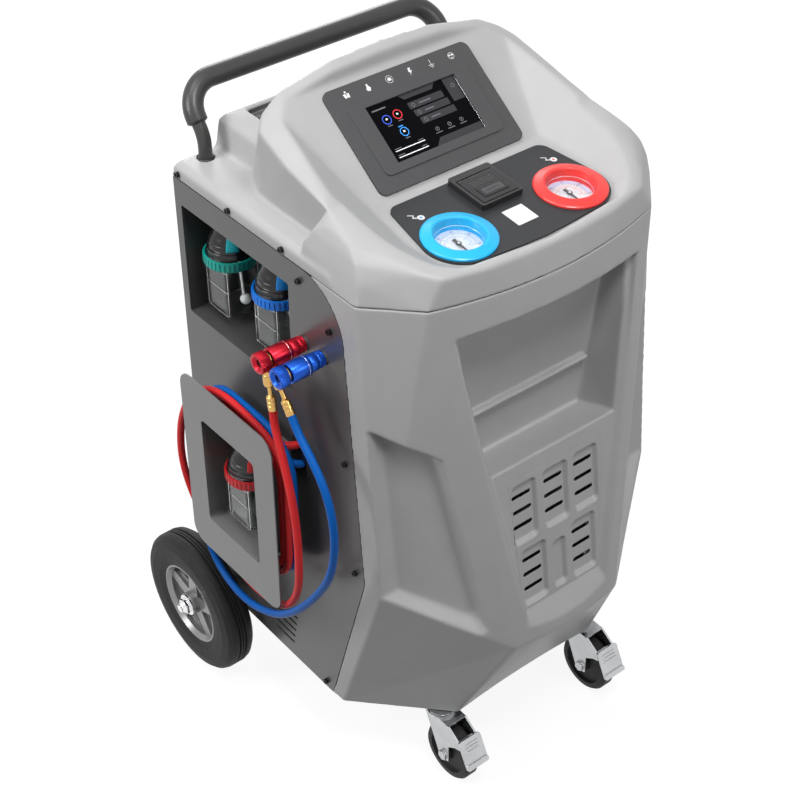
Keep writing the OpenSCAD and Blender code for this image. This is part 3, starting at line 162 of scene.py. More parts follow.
M = {
    "cover": finish_of("cover_plastic", (0.45, 0.45, 0.45), 0.46, mottle=0.02, spread=0.04, grain=0.10,
                       grains=1400.0),
    "steel": finish_of("panel_paint", (0.075, 0.075, 0.077), 0.33, mottle=0.03, spread=0.02, grain=0.03,
                       grains=1500.0, bevel=0.0008, coat=0.1),
    "hanger": finish_of("hanger_paint", (0.19, 0.19, 0.192), 0.36, mottle=0.03, spread=0.03, grain=0.03,
                        grains=1500.0, bevel=0.0008, coat=0.1),
    "chassis": finish_of("chassis_paint", (0.06, 0.06, 0.062), 0.45, grain=0.15, grains=700.0,
                         bevel=0.0008),
    "screw": finish_of("screw_black", (0.008, 0.008, 0.009), 0.36, mottle=0.1, grain=0.05, bevel=0.0005),
    "handle": finish_of("handle_paint", (0.060, 0.058, 0.057), 0.30, metal=0.3, grain=0.05, grains=1200.0),
    "grip": finish_of("grip_rubber", (0.040, 0.040, 0.041), 0.34, grain=0.06, grains=1600.0, bevel=0.0008),
    "zinc": finish_of("zinc_plate", (0.50, 0.51, 0.52), 0.24, metal=1.0, spots=40.0, bevel=0.0009),
    "chrome": finish_of("chrome", (0.78, 0.78, 0.79), 0.10, metal=1.0, mottle=0.04, spread=0.04,
                        bevel=0.0005),
    "tyre": finish_of("tyre_rubber", (0.014, 0.014, 0.015), 0.62, mottle=0.25, spots=60.0, grain=0.35,
                      bevel=0.0008),
    "rim": finish_of("rim_paint", (0.30, 0.30, 0.305), 0.34, metal=0.55, grain=0.12, bevel=0.0012),
    "tread": finish_of("caster_rubber", (0.020, 0.020, 0.021), 0.55, mottle=0.2, grain=0.3, bevel=0.001),
    "dark": finish_of("display_plastic", (0.066, 0.066, 0.069), 0.42, mottle=0.03, grain=0.25,
                      grains=2600.0, bevel=0.0012),
    "plate": finish_of("plate_film", (0.030, 0.031, 0.034), 0.34, mottle=0.03, grain=0.16, grains=2600.0,
                       bevel=0.0006),
    "screen": finish_of("screen_glass", (0.004, 0.004, 0.005), 0.22, mottle=0.1, spread=0.03),
    "dial": finish_of("dial_card", (0.82, 0.84, 0.88), 0.55, mottle=0.02),
    "clear": clear_of("gauge_glass", (0.98, 0.99, 1.0), 0.04),
    "jar": clear_of("jar_plastic", (0.93, 0.95, 0.95), 0.04, 1.3),
    "jar_edge": clear_of("jar_edge", (0.90, 0.93, 0.93), 0.20),
    "needle": finish_of("needle_black", (0.010, 0.010, 0.011), 0.4, mottle=0.1, bevel=0.0002),
    "black": finish_of("black_plastic", (0.016, 0.016, 0.017), 0.36, mottle=0.12, grain=0.2, grains=2200.0,
                       bevel=0.0008),
    "gloss": finish_of("black_gloss", (0.012, 0.012, 0.014), 0.22, mottle=0.1, grain=0.08, bevel=0.0008,
                       coat=0.15),
    "brass": finish_of("brass", (0.62, 0.38, 0.13), 0.26, metal=1.0, mottle=0.04, spots=60.0, spread=0.03),
    "coil": finish_of("hose_mixed", (0.20, 0.03, 0.12), 0.42, mottle=0.1),
    "inner_steel": finish_of("inner_steel", (0.30, 0.31, 0.33), 0.45, metal=0.6, mottle=0.1, grain=0.15,
                             bevel=0.001),
    "inner_alu": finish_of("inner_alu", (0.55, 0.56, 0.57), 0.38, metal=0.9, mottle=0.1, grain=0.1,
                           bevel=0.0008),
    "white": finish_of("white_print", (0.80, 0.80, 0.80), 0.5, mottle=0.03),
    "ball": finish_of("float_ball", (0.84, 0.85, 0.86), 0.45, mottle=0.03),
    "print_black": finish_of("print_black", (0.02, 0.02, 0.025), 0.5, mottle=0.1),
    "lit_white": glow_of("lit_white", (0.8, 0.8, 0.82), 0.35),
    "lit_grey": glow_of("lit_grey", (0.016, 0.016, 0.020), 0.2),
    "lit_mid": glow_of("lit_mid", (0.14, 0.14, 0.16), 0.3),
    "lit_blue": glow_of("lit_blue", (0.03, 0.08, 0.55), 0.5),
    "lit_cyan": glow_of("lit_cyan", (0.04, 0.30, 0.80), 0.5),
    "lit_red": glow_of("lit_red", (0.60, 0.02, 0.03), 0.5),
    "silver": finish_of("bezel_silver", (0.62, 0.62, 0.63), 0.28, metal=0.9, mottle=0.04, bevel=0.0003),
}


def family(members, rough, **more):
    """Finishes that differ in colour alone."""
    for key, (name, colour) in members.items():
        M[key] = finish_of(name, colour, rough, **more)


family({"cyan": ("gauge_cyan", (0.010, 0.47, 0.88)), "coral": ("gauge_red", (0.90, 0.045, 0.040))},
       0.33, mottle=0.02, grain=0.05, bevel=0.0008, coat=0.1)
family({"teal": ("collar_teal", (0.002, 0.40, 0.33)), "blue": ("collar_blue", (0.003, 0.21, 0.82)),
        "maroon": ("collar_red", (0.62, 0.012, 0.018))},
       0.42, mottle=0.05, grain=0.12, bevel=0.0006)
family({"turquoise": ("tab_turquoise", (0.01, 0.55, 0.62)), "sky": ("tab_blue", (0.01, 0.30, 0.85))},
       0.4, mottle=0.05, grain=0.1, bevel=0.0006)
family({"red_alu": ("anodised_red", (0.50, 0.010, 0.026)),
        "blue_alu": ("anodised_blue", (0.010, 0.085, 0.50))},
       0.30, metal=0.75, mottle=0.02, spread=0.02)
family({"red_hose": ("hose_red", (0.76, 0.030, 0.034)), "blue_hose": ("hose_blue", (0.002, 0.105, 0.44))},
       0.46, mottle=0.05, grain=0.12, grains=1500.0)
family({"print_blue": ("print_blue", (0.03, 0.30, 0.80)), "print_red": ("print_red", (0.75, 0.05, 0.06)),
        "print_green": ("print_green", (0.04, 0.30, 0.12)),
        "print_pale": ("print_pale", (0.62, 0.70, 0.95))},
       0.5, mottle=0.04)

FINISH_NODES = {
    "chassis": "chassis bottle_pocket",
    "steel": "left_side_panel right_side_panel rear_panel",
    "cover": "front_cover top_cover",
    "screw": "panel_screws",
    "handle": "handle_tube",
    "grip": "handle_grip",
    "chrome": "rear_axle",
    "tyre": "left_tyre right_tyre",
    "rim": "left_rim right_rim",
    "zinc": "caster_stems left_caster_fork right_caster_fork left_caster_pedal right_caster_pedal",
    "tread": "left_caster_wheel right_caster_wheel",
    "dark": "display_panel",
    "screen": "touch_screen",
    "plate": "instrument_plate",
    "cyan": "low_gauge_bezel",
    "coral": "high_gauge_bezel",
    "dial": "gauge_cases",
    "clear": "gauge_glasses",
    "needle": "low_gauge_needle high_gauge_needle",
    "black": "printer_body hose_grommet cooling_fan power_inlet",
    "gloss": "printer_lid bottle_heads coupler_cores",
    "hanger": "hose_hanger",
    "teal": "green_collar",
    "blue": "blue_collar",
    "maroon": "red_collar",
    "jar": "green_jar blue_jar red_jar",
    "inner_alu": "coupler_posts tank_scale condenser filter_manifold",
    "red_alu": "red_coupler_sleeve red_coupler_knob",
    "blue_alu": "blue_coupler_sleeve blue_coupler_knob",
    "brass": "hose_fittings",
    "red_hose": "red_hose",
    "blue_hose": "blue_hose",
    "coil": "hose_coil",
    "inner_steel": "refrigerant_tank compressor vacuum_pump",
}


def paint(obj, *keys):
    obj.data.materials.clear()
    for key in keys:
        obj.data.materials.append(M[key])


for finish_name, node_names in FINISH_NODES.items():
    for node_name in node_names.split():
        paint(NODES[node_name], finish_name)
SPECULAR = {
    "jar": 0.25, "red_hose": 0.18, "blue_hose": 0.14, "plate": 0.25, "tyre": 0.25, "cover": 0.4,
    "tread": 0.25, "screw": 0.25, "gloss": 0.35, "dark": 0.35, "grip": 0.4, "handle": 0.4, "screen": 0.02,
}
for finish_name, level in SPECULAR.items():
    fill(M[finish_name].node_tree.nodes["Principled BSDF"], {"Specular IOR Level": level})


# Shapes
def object_of(name, mesh, finish, body="machine", smooth=True):
    obj = placed(name, mesh)
    paint(obj, *([finish] if isinstance(finish, str) else finish))
    if smooth:
        mesh.polygons.foreach_set("use_smooth", [True] * len(mesh.polygons))
    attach(obj, body)
    return obj


def mesh_of(name, verts, faces):
    mesh = bpy.data.meshes.new(name)
    mesh.from_pydata([tuple(v) for v in verts], [], faces)
    mesh.validate()
    mesh.update()
    return mesh


def evaluated_mesh(obj):
    """The mesh of an object with its modifiers applied."""
    graph = bpy.context.evaluated_depsgraph_get()
    return bpy.data.meshes.new_from_object(obj.evaluated_get(graph))


def smooth_step(t):
    t = np.clip(t, 0.0, 1.0)
    return t * t * (3 - 2 * t)


def strip_faces(rows, across):
    """Quads of a strip whose points run row by row, across + 1 to a row."""
    faces = []
    for i in range(rows - 1):
        for k in range(across):
            p = i * (across + 1) + k
            faces.append((p, p + 1, p + across + 2, p + across + 1))
    return faces


def thicken(obj, thickness, offset):
    wall = obj.modifiers.new("thick", "SOLIDIFY")
    wall.thickness = thickness
    wall.offset = offset
    return wall


def soft_weights(points, names, near, far):
    """0 close to the named neighbours and 1 beyond far."""
    tree = tree_of(names)
    gaps = np.full(len(points), far)
    nearest = tree.find_nearest
    for i, p in enumerate(points.tolist()):
        hit = nearest(p, far)[3]
        if hit is not None:
            gaps[i] = hit
    return smooth_step((gaps - near) / (far - near))


RELAX_STEP = 0.5
SHARP_ANGLE = math.radians(35.0)
ARC_STEPS = 6


def relaxed(points, edges, weights, rounds):
    count = len(points)
    a, b = edges[:, 0], edges[:, 1]
    degree = np.bincount(a, minlength=count) + np.bincount(b, minlength=count)
    degree = np.maximum(degree, 1)[:, None]
    gain = (RELAX_STEP * weights)[:, None]
    for _ in range(rounds):
        total = np.empty_like(points)
        for k in range(3):
            total[:, k] = np.bincount(a, points[b, k], count) + np.bincount(b, points[a, k], count)
        points = points + gain * (total / degree - points)
    return points


def tree_of(names):
    bm = bmesh.new()
    for name in names:
        bm.from_mesh(NODES[name].data)
    tree = BVHTree.FromBMesh(bm)
    bm.free()
    return tree


SHELL = ("chassis", "left_side_panel", "right_side_panel", "rear_panel", "front_cover", "top_cover",
         "display_panel", "instrument_plate", "bottle_pocket", "hose_hanger")
SHELL_TREE = tree_of(SHELL)
RAY_LIFT = 0.0008
RAY_LEANS = [(0, 0)]
for lean in (0.6, 1.4):
    RAY_LEANS += [(lean, 0), (-lean, 0), (0, lean), (0, -lean)]


def outer_faces(mesh):
    """For each face of a cover, whether light from outside can reach it."""
    seen = []
    for face in mesh.polygons:
        n = face.normal
        side = n.orthogonal().normalized()
        over = n.cross(side)
        spots = [face.center] + [face.center.lerp(mesh.vertices[i].co, 0.5) for i in face.vertices]
        rays = [n + side * u + over * v for u, v in RAY_LEANS]
        starts = [spot + n * RAY_LIFT for spot in spots]
        seen.append(any(SHELL_TREE.ray_cast(p, ray)[0] is None for p in starts for ray in rays))
    return np.array(seen)


def softened(node, name, voxel, sigma, neighbours, hold):
    """A copy of a moulded cover with its creases rounded, its seams kept where they are."""
    source = NODES[node]
    outside = outer_faces(source.data)
    copy = placed(name, source.data.copy())
    remesh = copy.modifiers.new("remesh", "REMESH")
    remesh.mode = "VOXEL"
    remesh.voxel_size = voxel
    mesh = evaluated_mesh(copy)
    copy.modifiers.clear()
    copy.data = mesh
    count = len(mesh.vertices)
    rest = np.empty(count * 3)
    mesh.vertices.foreach_get("co", rest)
    rest = rest.reshape(-1, 3)
    edges = np.empty(len(mesh.edges) * 2, dtype=np.int64)
    mesh.edges.foreach_get("vertices", edges)
    edges = edges.reshape(-1, 2)
    tree = tree_of([node])
    nearest = tree.find_nearest
    triangles = [nearest(p)[2] for p in rest.tolist()]
    skin = outside[np.array(triangles)]
    weights = np.minimum(soft_weights(rest, neighbours, SEAM_NEAR, SEAM_FAR), hold(rest)) * skin
    rounds = int(round((sigma / voxel) ** 2 * 4))
    points = relaxed(rest, edges, weights, rounds)
    shift = points - rest
    spots = np.nonzero(skin)[0]
    lookup = KDTree(len(spots))
    for k, i in enumerate(spots.tolist()):
        lookup.insert(rest[i].tolist(), k)
    lookup.balance()
    for i in np.nonzero(~skin)[0].tolist():
        shift[i] = shift[spots[lookup.find(rest[i].tolist())[1]]]
    mesh.vertices.foreach_set("co", (rest + shift).ravel())
    mesh.update()
    mesh.polygons.foreach_set("use_smooth", [True] * len(mesh.polygons))
    paint(copy, "cover")
    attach(copy, "machine")
    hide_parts(node)
    return copy


# Where the softening is held back, in metres
GRILLE_HOLD = (0.088, 0.482, 0.112)
HOLD_FADE = 0.012
FRONT_Y = -0.17
EAR_STEP = (0.246, -0.058, 0.980)
EAR_REACH = 0.022


def front_hold(points):
    """The grille keeps its sharper form."""
    x, y, z = points.T
    half_x, mid_z, half_z = GRILLE_HOLD
    side = np.clip((np.abs(x) - half_x) / HOLD_FADE, 0.0, 1.0)
    over = np.clip((np.abs(z - mid_z) - half_z) / HOLD_FADE, 0.0, 1.0)
    weight = np.maximum(side, over)
    return 0.05 + 0.95 * np.where(y < FRONT_Y, weight, 1.0)


def top_hold(points):
    """The narrow step where each ear meets the hood keeps its form."""
    x, y, z = points.T
    step_x, step_y, step_z = EAR_STEP
    away = np.sqrt((np.abs(x) - step_x) ** 2 + (y - step_y) ** 2 + (0.6 * (z - step_z)) ** 2)
    return 0.03 + 0.97 * smooth_step((away - EAR_REACH) / EAR_REACH)


VOXEL = 0.0019
FRONT_ROUND, TOP_ROUND = 0.0036, 0.0048
SEAM_NEAR, SEAM_FAR = 0.002, 0.010
front_soft = softened("front_cover", "front_cover_soft", VOXEL, FRONT_ROUND,
                      ("top_cover", "left_side_panel", "right_side_panel", "chassis"), front_hold)
softened("top_cover", "top_cover_soft", VOXEL, TOP_ROUND,
         ("front_cover", "left_side_panel", "right_side_panel", "rear_panel", "display_panel",
          "instrument_plate", "handle_tube"), top_hold)


# Moulded web behind each ear, between the ear and the side of the hood
def ear_web(word, side):
    rows = [
        (264.0, -52.5, 227.0, -52.5, 950.0), (262.6, -53.5, 228.0, -53.5, 963.0),
        (258.6, -59.5, 230.0, -58.0, 974.0), (255.0, -64.5, 232.0, -61.0, 985.0),
        (249.2, -70.0, 233.6, -62.5, 995.0), (246.0, -74.5, 234.6, -65.0, 1001.0),
        (243.0, -78.0, 235.6, -67.5, 1005.5), (241.8, -78.5, 236.2, -69.0, 1008.0),
    ]
    verts = []
    across = 6
    for outer_x, outer_y, inner_x, inner_y, z in rows:
        for k in range(across + 1):
            t = k / across
            x = outer_x + (inner_x - outer_x) * t
            y = outer_y + (inner_y - outer_y) * t + 3.0 * t * (1 - t)
            verts.append((side * x * MM, y * MM, z * MM))
    mesh = mesh_of("ear_web", verts, strip_faces(len(rows), across))
    thicken(object_of(word + "_ear_web", mesh, "cover"), 0.0016, 0.0)


ear_web("left", -1)
ear_web("right", 1)


# Grille insert of the front cover: moulded pockets with rounded lips, slots cut through, their walls
# painted black as painted shade inside the slots
POCKETS = [
    (-62, 540, 46, 100, 3), (0, 540, 46, 100, 3), (60, 540, 46, 100, 3), (-50, 424, 46, 100, 3),
    (50, 424, 46, 100, 3), (0, 418, 24, 84, 0),
]
GRILLE_LOW, GRILLE_HIGH = 369.5, 601.0
GRILLE_DEPTH = 7.2
FACE_X, FACE_Z = (28, 31), (368, 596)
SLOT_W, SLOT_H, SLOT_PITCH = 36, 6.6, 26


def grille_half(z):
    return 77.0 + 14.0 * (z - GRILLE_LOW) / (GRILLE_HIGH - GRILLE_LOW)


def rounded_gap(x, z, w, h, r):
    """Signed distance to a rounded rectangle about the origin, negative inside."""
    qx = np.abs(x) - w / 2 + r
    qz = np.abs(z) - h / 2 + r
    return np.hypot(np.maximum(qx, 0), np.maximum(qz, 0)) + np.minimum(np.maximum(qx, qz), 0) - r


def slot_gap(x, z):
    """Signed distance to the nearest slot."""
    gap = np.full(x.shape, 1e3)
    for cx, cz, w, h, slots in POCKETS:
        for k in range(-1, 2):
            if slots:
                spot_z = z - cz - SLOT_PITCH * k
                gap = np.minimum(gap, rounded_gap(x - cx, spot_z, SLOT_W, SLOT_H, SLOT_H / 2))
    return gap


def pocket_depth(x, z):
    depth = np.zeros(x.shape)
    for cx, cz, w, h, slots in POCKETS:
        gap = rounded_gap(x - cx, z - cz, w + 2, h + 2, 9.0)
        depth = np.maximum(depth, GRILLE_DEPTH * smooth_step((1.5 - gap) / 6.5))
    return depth


def face_line(z):
    """Where the recess floor lies, taken from the solid between the pockets."""
    tree = tree_of(["front_cover"])
    spots = [(x * MM, -1.0, up * MM) for x, up in zip(FACE_X, FACE_Z)]
    low, high = (tree.ray_cast(spot, (0, 1, 0))[0].y for spot in spots)
    return (low + (high - low) * (z - FACE_Z[0]) / (FACE_Z[1] - FACE_Z[0])) / MM


def grille_insert():
    step = 1.0
    nx, nz = int(180 / step) + 1, int((GRILLE_HIGH - GRILLE_LOW) / step) + 1
    gx, gz = np.meshgrid(np.linspace(-1, 1, nx), np.linspace(GRILLE_LOW, GRILLE_HIGH, nz), indexing="ij")
    gx = gx * grille_half(gz)
    x, z = gx.ravel(), gz.ravel()
    edge = np.minimum(grille_half(z) - np.abs(x), np.minimum(z - GRILLE_LOW, GRILLE_HIGH - z))
    border = smooth_step(edge / 2.5)
    for _ in range(2):
        gap = slot_gap(x, z)
        e = 0.05
        sx = (slot_gap(x + e, z) - slot_gap(x - e, z)) / (2 * e)
        sz = (slot_gap(x, z + e) - slot_gap(x, z - e)) / (2 * e)
        near = np.abs(gap) < 0.55 * step
        x = np.where(near, x - gap * sx, x)
        z = np.where(near, z - gap * sz, z)
    y = face_line(z) - 0.15 + pocket_depth(x, z) * border
    index = np.arange(nx * nz).reshape(nx, nz)
    quads = np.stack([index[:-1, :-1], index[1:, :-1], index[1:, 1:], index[:-1, 1:]], axis=-1)
    quads = quads.reshape(-1, 4)
    open_slot = slot_gap(x[quads].mean(axis=1), z[quads].mean(axis=1)) < 0
    quads = quads[~open_slot]
    mesh = bpy.data.meshes.new("front_grille")
    mesh.from_pydata((np.stack([x, y, z], axis=1) * MM).tolist(), [], quads.tolist())
    with editing(mesh) as bm:
        bmesh.ops.delete(bm, geom=[v for v in bm.verts if not v.link_faces], context="VERTS")
    obj = object_of("front_grille", mesh, ("cover", "black"))
    # Painted shade: the rim of the thickened insert, the slot walls and outer edge, takes the black
    # finish, though the moulding is the cover's grey
    thicken(obj, 0.0026, -1.0).material_offset_rim = 1


def open_for_grille(obj):
    """Takes the faces behind the insert out of the cover."""
    with editing(obj.data) as bm:
        gone = []
        for f in bm.faces:
            c = f.calc_center_median() / MM
            inside = GRILLE_LOW + 2.5 < c.z < GRILLE_HIGH - 3 and c.y < FRONT_Y / MM
            if inside and abs(c.x) < grille_half(c.z) - 3:
                gone.append(f)
        bmesh.ops.delete(bm, geom=gone, context="FACES")


open_for_grille(front_soft)
grille_insert()


# Hoses: from the grommet, round the hanger and up to the couplers
CORE_Y, CORE_Z = 54.5, 493.5
CORE_A, CORE_B = 37.1, 69.1
TURN_R = 54.0
RUNS = (2 * CORE_A, 2 * CORE_B, 2 * CORE_A, 2 * CORE_B)
CORNER = TURN_R * math.pi / 2
LOOP = sum(RUNS) + 4 * CORNER
WIND_INNER, WIND_PITCH, WIND_GAP = 48.0, 12.4, 20.0
SPAN_STEPS, SMOOTH_ROUNDS, HOSE_GAP = 12, 30, 6.0


def wound(x, s, radius):
    """Point on a winding round the core, s mm along the loop from the front of its top run."""
    s = s % LOOP
    y, z = -CORE_A, CORE_B
    along_y, along_z = 1, 0
    for length in RUNS:
        out_y, out_z = -along_z, along_y
        if s <= length:
            y += along_y * s + out_y * radius
            z += along_z * s + out_z * radius
            return (x, CORE_Y + y, CORE_Z + z)
        y += along_y * length
        z += along_z * length
        s -= length
        if s <= CORNER:
            a = math.atan2(out_z, out_y) - s / CORNER * math.pi / 2
            return (x, CORE_Y + y + radius * math.cos(a), CORE_Z + z + radius * math.sin(a))
        s -= CORNER
        along_y, along_z = along_z, -along_y
    return (x, CORE_Y - CORE_A, CORE_Z + CORE_B + radius)


def winding(x, first, last):
    """Turns that lie on each other, from first to last mm along the loop."""
    count = int((last - first) / WIND_GAP)
    spots = [first + (last - first) * k / count for k in range(count + 1)]
    return [wound(x, s, WIND_INNER + WIND_PITCH * (s - first) / LOOP) for s in spots]


def smooth_line(points, gap):
    """Even points on a smooth curve through a route, in mm."""
    p = [np.array(q, dtype=float) for q in points]
    dense = []
    last = len(p) - 1
    for i in range(last):
        a, b, c, d = p[max(i - 1, 0)], p[i], p[i + 1], p[min(i + 2, last)]
        for k in range(SPAN_STEPS):
            t = k / SPAN_STEPS
            dense.append(0.5 * (2 * b + (c - a) * t + (2 * a - 5 * b + 4 * c - d) * t * t
                                + (3 * b - a - 3 * c + d) * t ** 3))
    dense.append(p[last])
    dense = np.array(dense)
    for _ in range(SMOOTH_ROUNDS):
        dense[1:-1] += 0.5 * (0.5 * (dense[:-2] + dense[2:]) - dense[1:-1])
    steps = np.linalg.norm(np.diff(dense, axis=0), axis=1)
    run = np.concatenate([[0], np.cumsum(steps)])
    even = np.linspace(0, run[-1], max(2, int(run[-1] / gap)))
    return np.stack([np.interp(even, run, dense[:, k]) for k in range(3)], axis=1)


RED_LEAD = [
    (-262, -31, 606), (-274, -30, 606.5), (-286, -26, 609), (-296, -18, 612), (-304, -8, 613),
    (-310, 5, 612),
]
BLUE_LEAD = [
    (-262, -42, 576), (-273, -40.5, 577), (-284, -36, 580.5), (-292, -30, 586), (-298, -21, 592.5),
]
RED_TAIL = [
    (-328, -55.67, 715.86), (-331, -62, 692), (-334, -80, 655), (-336, -103, 585), (-336, -111, 520),
    (-336, -111, 465), (-332, -101, 405), (-327, -70, 345), (-323, -25, 310), (-320, 40, 296),
    (-316, 110, 302), (-316, 160, 324), (-318, 203, 372), (-320, 222, 425), (-320, 224, 475),
    (-320, 212, 532), (-320, 182, 588), (-318, 142, 628), (-315, 98, 643), (-313, 58, 641),
]
BLUE_TAIL = [
    (-328, -99.53, 733.31), (-330, -118, 712), (-333, -150, 690), (-335, -182, 655), (-336, -199, 610),
    (-336, -200, 555), (-336, -188, 500), (-336, -162, 448), (-338, -122, 388), (-338, -78, 338),
    (-337, -30, 301), (-335, 34, 274), (-334, 90, 278), (-331, 134, 300), (-329, 160, 345),
    (-325, 171, 395), (-315, 173, 440), (-305, 170, 480),
]
HOSE_D = 0.012


def tube(name, line, d, resolution, finish):
    """A round tube along a line of points in metres."""
    curve = bpy.data.curves.new(name, "CURVE")
    curve.dimensions = "3D"
    curve.bevel_depth = d / 2
    curve.bevel_resolution = resolution
    curve.use_fill_caps = True
    spline = curve.splines.new("POLY")
    spline.points.add(len(line) - 1)
    spline.points.foreach_set("co", np.column_stack([line, np.ones(len(line))]).ravel())
    spline.use_smooth = True
    obj = placed(name, curve)
    paint(obj, finish)
    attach(obj, "machine")
    return obj


def hose(name, route, finish, nodes):
    line = smooth_line(route, HOSE_GAP) * MM
    obj = tube(name, line, HOSE_D, 4, finish)
    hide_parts(*nodes)


# The blue winding lies beside the red one, and starts and ends on other runs of the loop
RED_LAYER, BLUE_LAYER = -312, -299.5
BLUE_FIRST = -38 / 90 * CORNER
BLUE_LAST = 211.6 + 2 * LOOP
red_route = RED_LEAD + winding(RED_LAYER, 0.0, 2 * LOOP) + RED_TAIL[::-1]
blue_route = BLUE_LEAD + winding(BLUE_LAYER, BLUE_FIRST, BLUE_LAST) + BLUE_TAIL[::-1]


# Flat print on a surface
def basis(origin, y_axis, normal):
    x_axis = Vector(y_axis).cross(Vector(normal))
    m = Matrix.Identity(4)
    for i in range(3):
        m[i][0] = x_axis[i]
        m[i][1] = y_axis[i]
        m[i][2] = normal[i]
        m[i][3] = origin[i] * MM
    return m


# The display slope rises from the crease, and the plate falls from it towards the front
CREASE_Y, CREASE_Z = -56, 976
PLATE_TILT, SLOPE_TILT = 5, 36
PLATE_TOP, LID_TOP, DIAL_TOP = 3.3, 13.1, -9.7
SCREEN_V, SCREEN_TOP = 85, 2.8
ICONS_V, PANEL_TOP = 157, 4.3
GAUGE_X, GAUGE_W = 101, 124
PRINTER_W = 60


def tilted_at(x, run, h, tilt):
    c, s = math.cos(math.radians(tilt)), math.sin(math.radians(tilt))
    return basis((x, CREASE_Y + run * c - h * s, CREASE_Z + run * s + h * c), (0, c, s), (0, -s, c))


def plate_at(x, w, h):
    return tilted_at(x, -w, h, PLATE_TILT)


def slope_at(x, v, h):
    return tilted_at(x, v, h, SLOPE_TILT)


def polar(cx, cy, r, degrees):
    a = math.radians(degrees)
    return (cx + r * math.cos(a), cy + r * math.sin(a))


def ring(cx, cy, r0, r1, a0=0.0, a1=360.0, n=None):
    n = n or max(6, int(abs(a1 - a0) / 6))
    quads = []
    for k in range(n):
        a = a0 + (a1 - a0) * k / n
        b = a0 + (a1 - a0) * (k + 1) / n
        quads.append([polar(cx, cy, r0, a), polar(cx, cy, r1, a), polar(cx, cy, r1, b),
                      polar(cx, cy, r0, b)])
    return quads


def disc(cx, cy, r, n=40):
    return [[polar(cx, cy, r, 360 * k / n) for k in range(n)]]


def bar(x0, y0, x1, y1):
    return [[(x0, y0), (x1, y0), (x1, y1), (x0, y1)]]


def stroke(points, width):
    quads = []
    for p, q in zip(points[:-1], points[1:]):
        d = Vector((q[0] - p[0], q[1] - p[1])).normalized() * width / 2
        quads.append([(p[0] - d.x + d.y, p[1] - d.y - d.x), (q[0] + d.x + d.y, q[1] + d.y - d.x),
                      (q[0] + d.x - d.y, q[1] + d.y + d.x), (p[0] - d.x - d.y, p[1] - d.y + d.x)])
    return quads


def soft_bar(x0, y0, x1, y1, r):
    pts = []
    for cx, cy, a0 in ((x1 - r, y1 - r, 0), (x0 + r, y1 - r, 90), (x0 + r, y0 + r, 180),
                       (x1 - r, y0 + r, 270)):
        for k in range(ARC_STEPS + 1):
            pts.append(polar(cx, cy, r, a0 + 90 * k / ARC_STEPS))
    return [pts]


def moved(polys, dx, dy, turn=0.0):
    c, s = math.cos(math.radians(turn)), math.sin(math.radians(turn))
    return [[(dx + c * x - s * y, dy + s * x + c * y) for x, y in p] for p in polys]


def digits(word, size, cx, cy):
    """Numerals of a dial scale as flat faces."""
    font = bpy.data.curves.new("digits", "FONT")
    font.body = word
    font.size = size
    font.align_x = "CENTER"
    font.align_y = "CENTER"
    obj = placed("digits", font)
    mesh = evaluated_mesh(obj)
    spots = [(v.co.x + cx, v.co.y + cy) for v in mesh.vertices]
    polys = [[spots[i] for i in f.vertices] for f in mesh.polygons]
    bpy.data.objects.remove(obj)
    bpy.data.meshes.remove(mesh)
    bpy.data.curves.remove(font)
    return polys


def printed(name, place, layers, body="machine"):
    """Flat coloured shapes, each layer (finish, height in mm, polygons), lying on a surface."""
    verts, faces, index = [], [], []
    keys = []
    for finish, height, polys in layers:
        if finish not in keys:
            keys.append(finish)
        for poly in polys:
            base = len(verts)
            verts += [place @ Vector((x * MM, y * MM, height * MM)) for x, y in poly]
            faces.append(tuple(range(base, base + len(poly))))
            index.append(keys.index(finish))
    mesh = bpy.data.meshes.new(name)
    mesh.from_pydata([tuple(v) for v in verts], [], faces)
    obj = object_of(name, mesh, keys, body, smooth=False)
    mesh.polygons.foreach_set("material_index", index)
    return obj


# Gauge dials
def dial(name, x, band, arc, top, unit):
    """A card with an outer scale up to top and an inner one up to unit, over the needle's range."""
    low, high = 270.0, -30.0
    marks, fine_marks, main_step = 30, 50, 5
    layers = [(band, 0.06, ring(0, 0, 24.5, 32.4, high, low))]
    add = layers.append
    for k in range(marks + 1):
        a = low + (high - low) * k / marks
        main = k % main_step == 0
        tick = [polar(0, 0, 21.0 if main else 22.8, a), polar(0, 0, 24.6, a)]
        add(("print_black", 0.1, stroke(tick, 0.55 if main else 0.3)))
        if main:
            word = str(int(round(top * k / marks)))
            add(("print_black", 0.1, digits(word, 5.0, *polar(0, 0, 28.4, a))))
            word = str(int(round(unit * k / marks)))
            add((arc, 0.1, digits(word, 3.4, *polar(0, 0, 15.2, a))))
    for k in range(fine_marks + 1):
        a = low + (high - low) * k / fine_marks
        add((arc, 0.1, stroke([polar(0, 0, 18.4, a), polar(0, 0, 19.6, a)], 0.25)))
    add((arc, 0.1, ring(0, 0, 18.2, 18.5, high, low)))
    add(("print_black", 0.1, ring(0, 0, 24.4, 24.7, high, low)))
    add(("print_green", 0.12, ring(0, 0, 22.9, 24.4, low - 20, low - 3)))
    printed(name, plate_at(x, GAUGE_W, DIAL_TOP), layers)


dial("low_dial_print", -GAUGE_X, "print_pale", "print_blue", 60, 15)
dial("high_dial_print", GAUGE_X, "print_pale", "print_red", 250, 35)


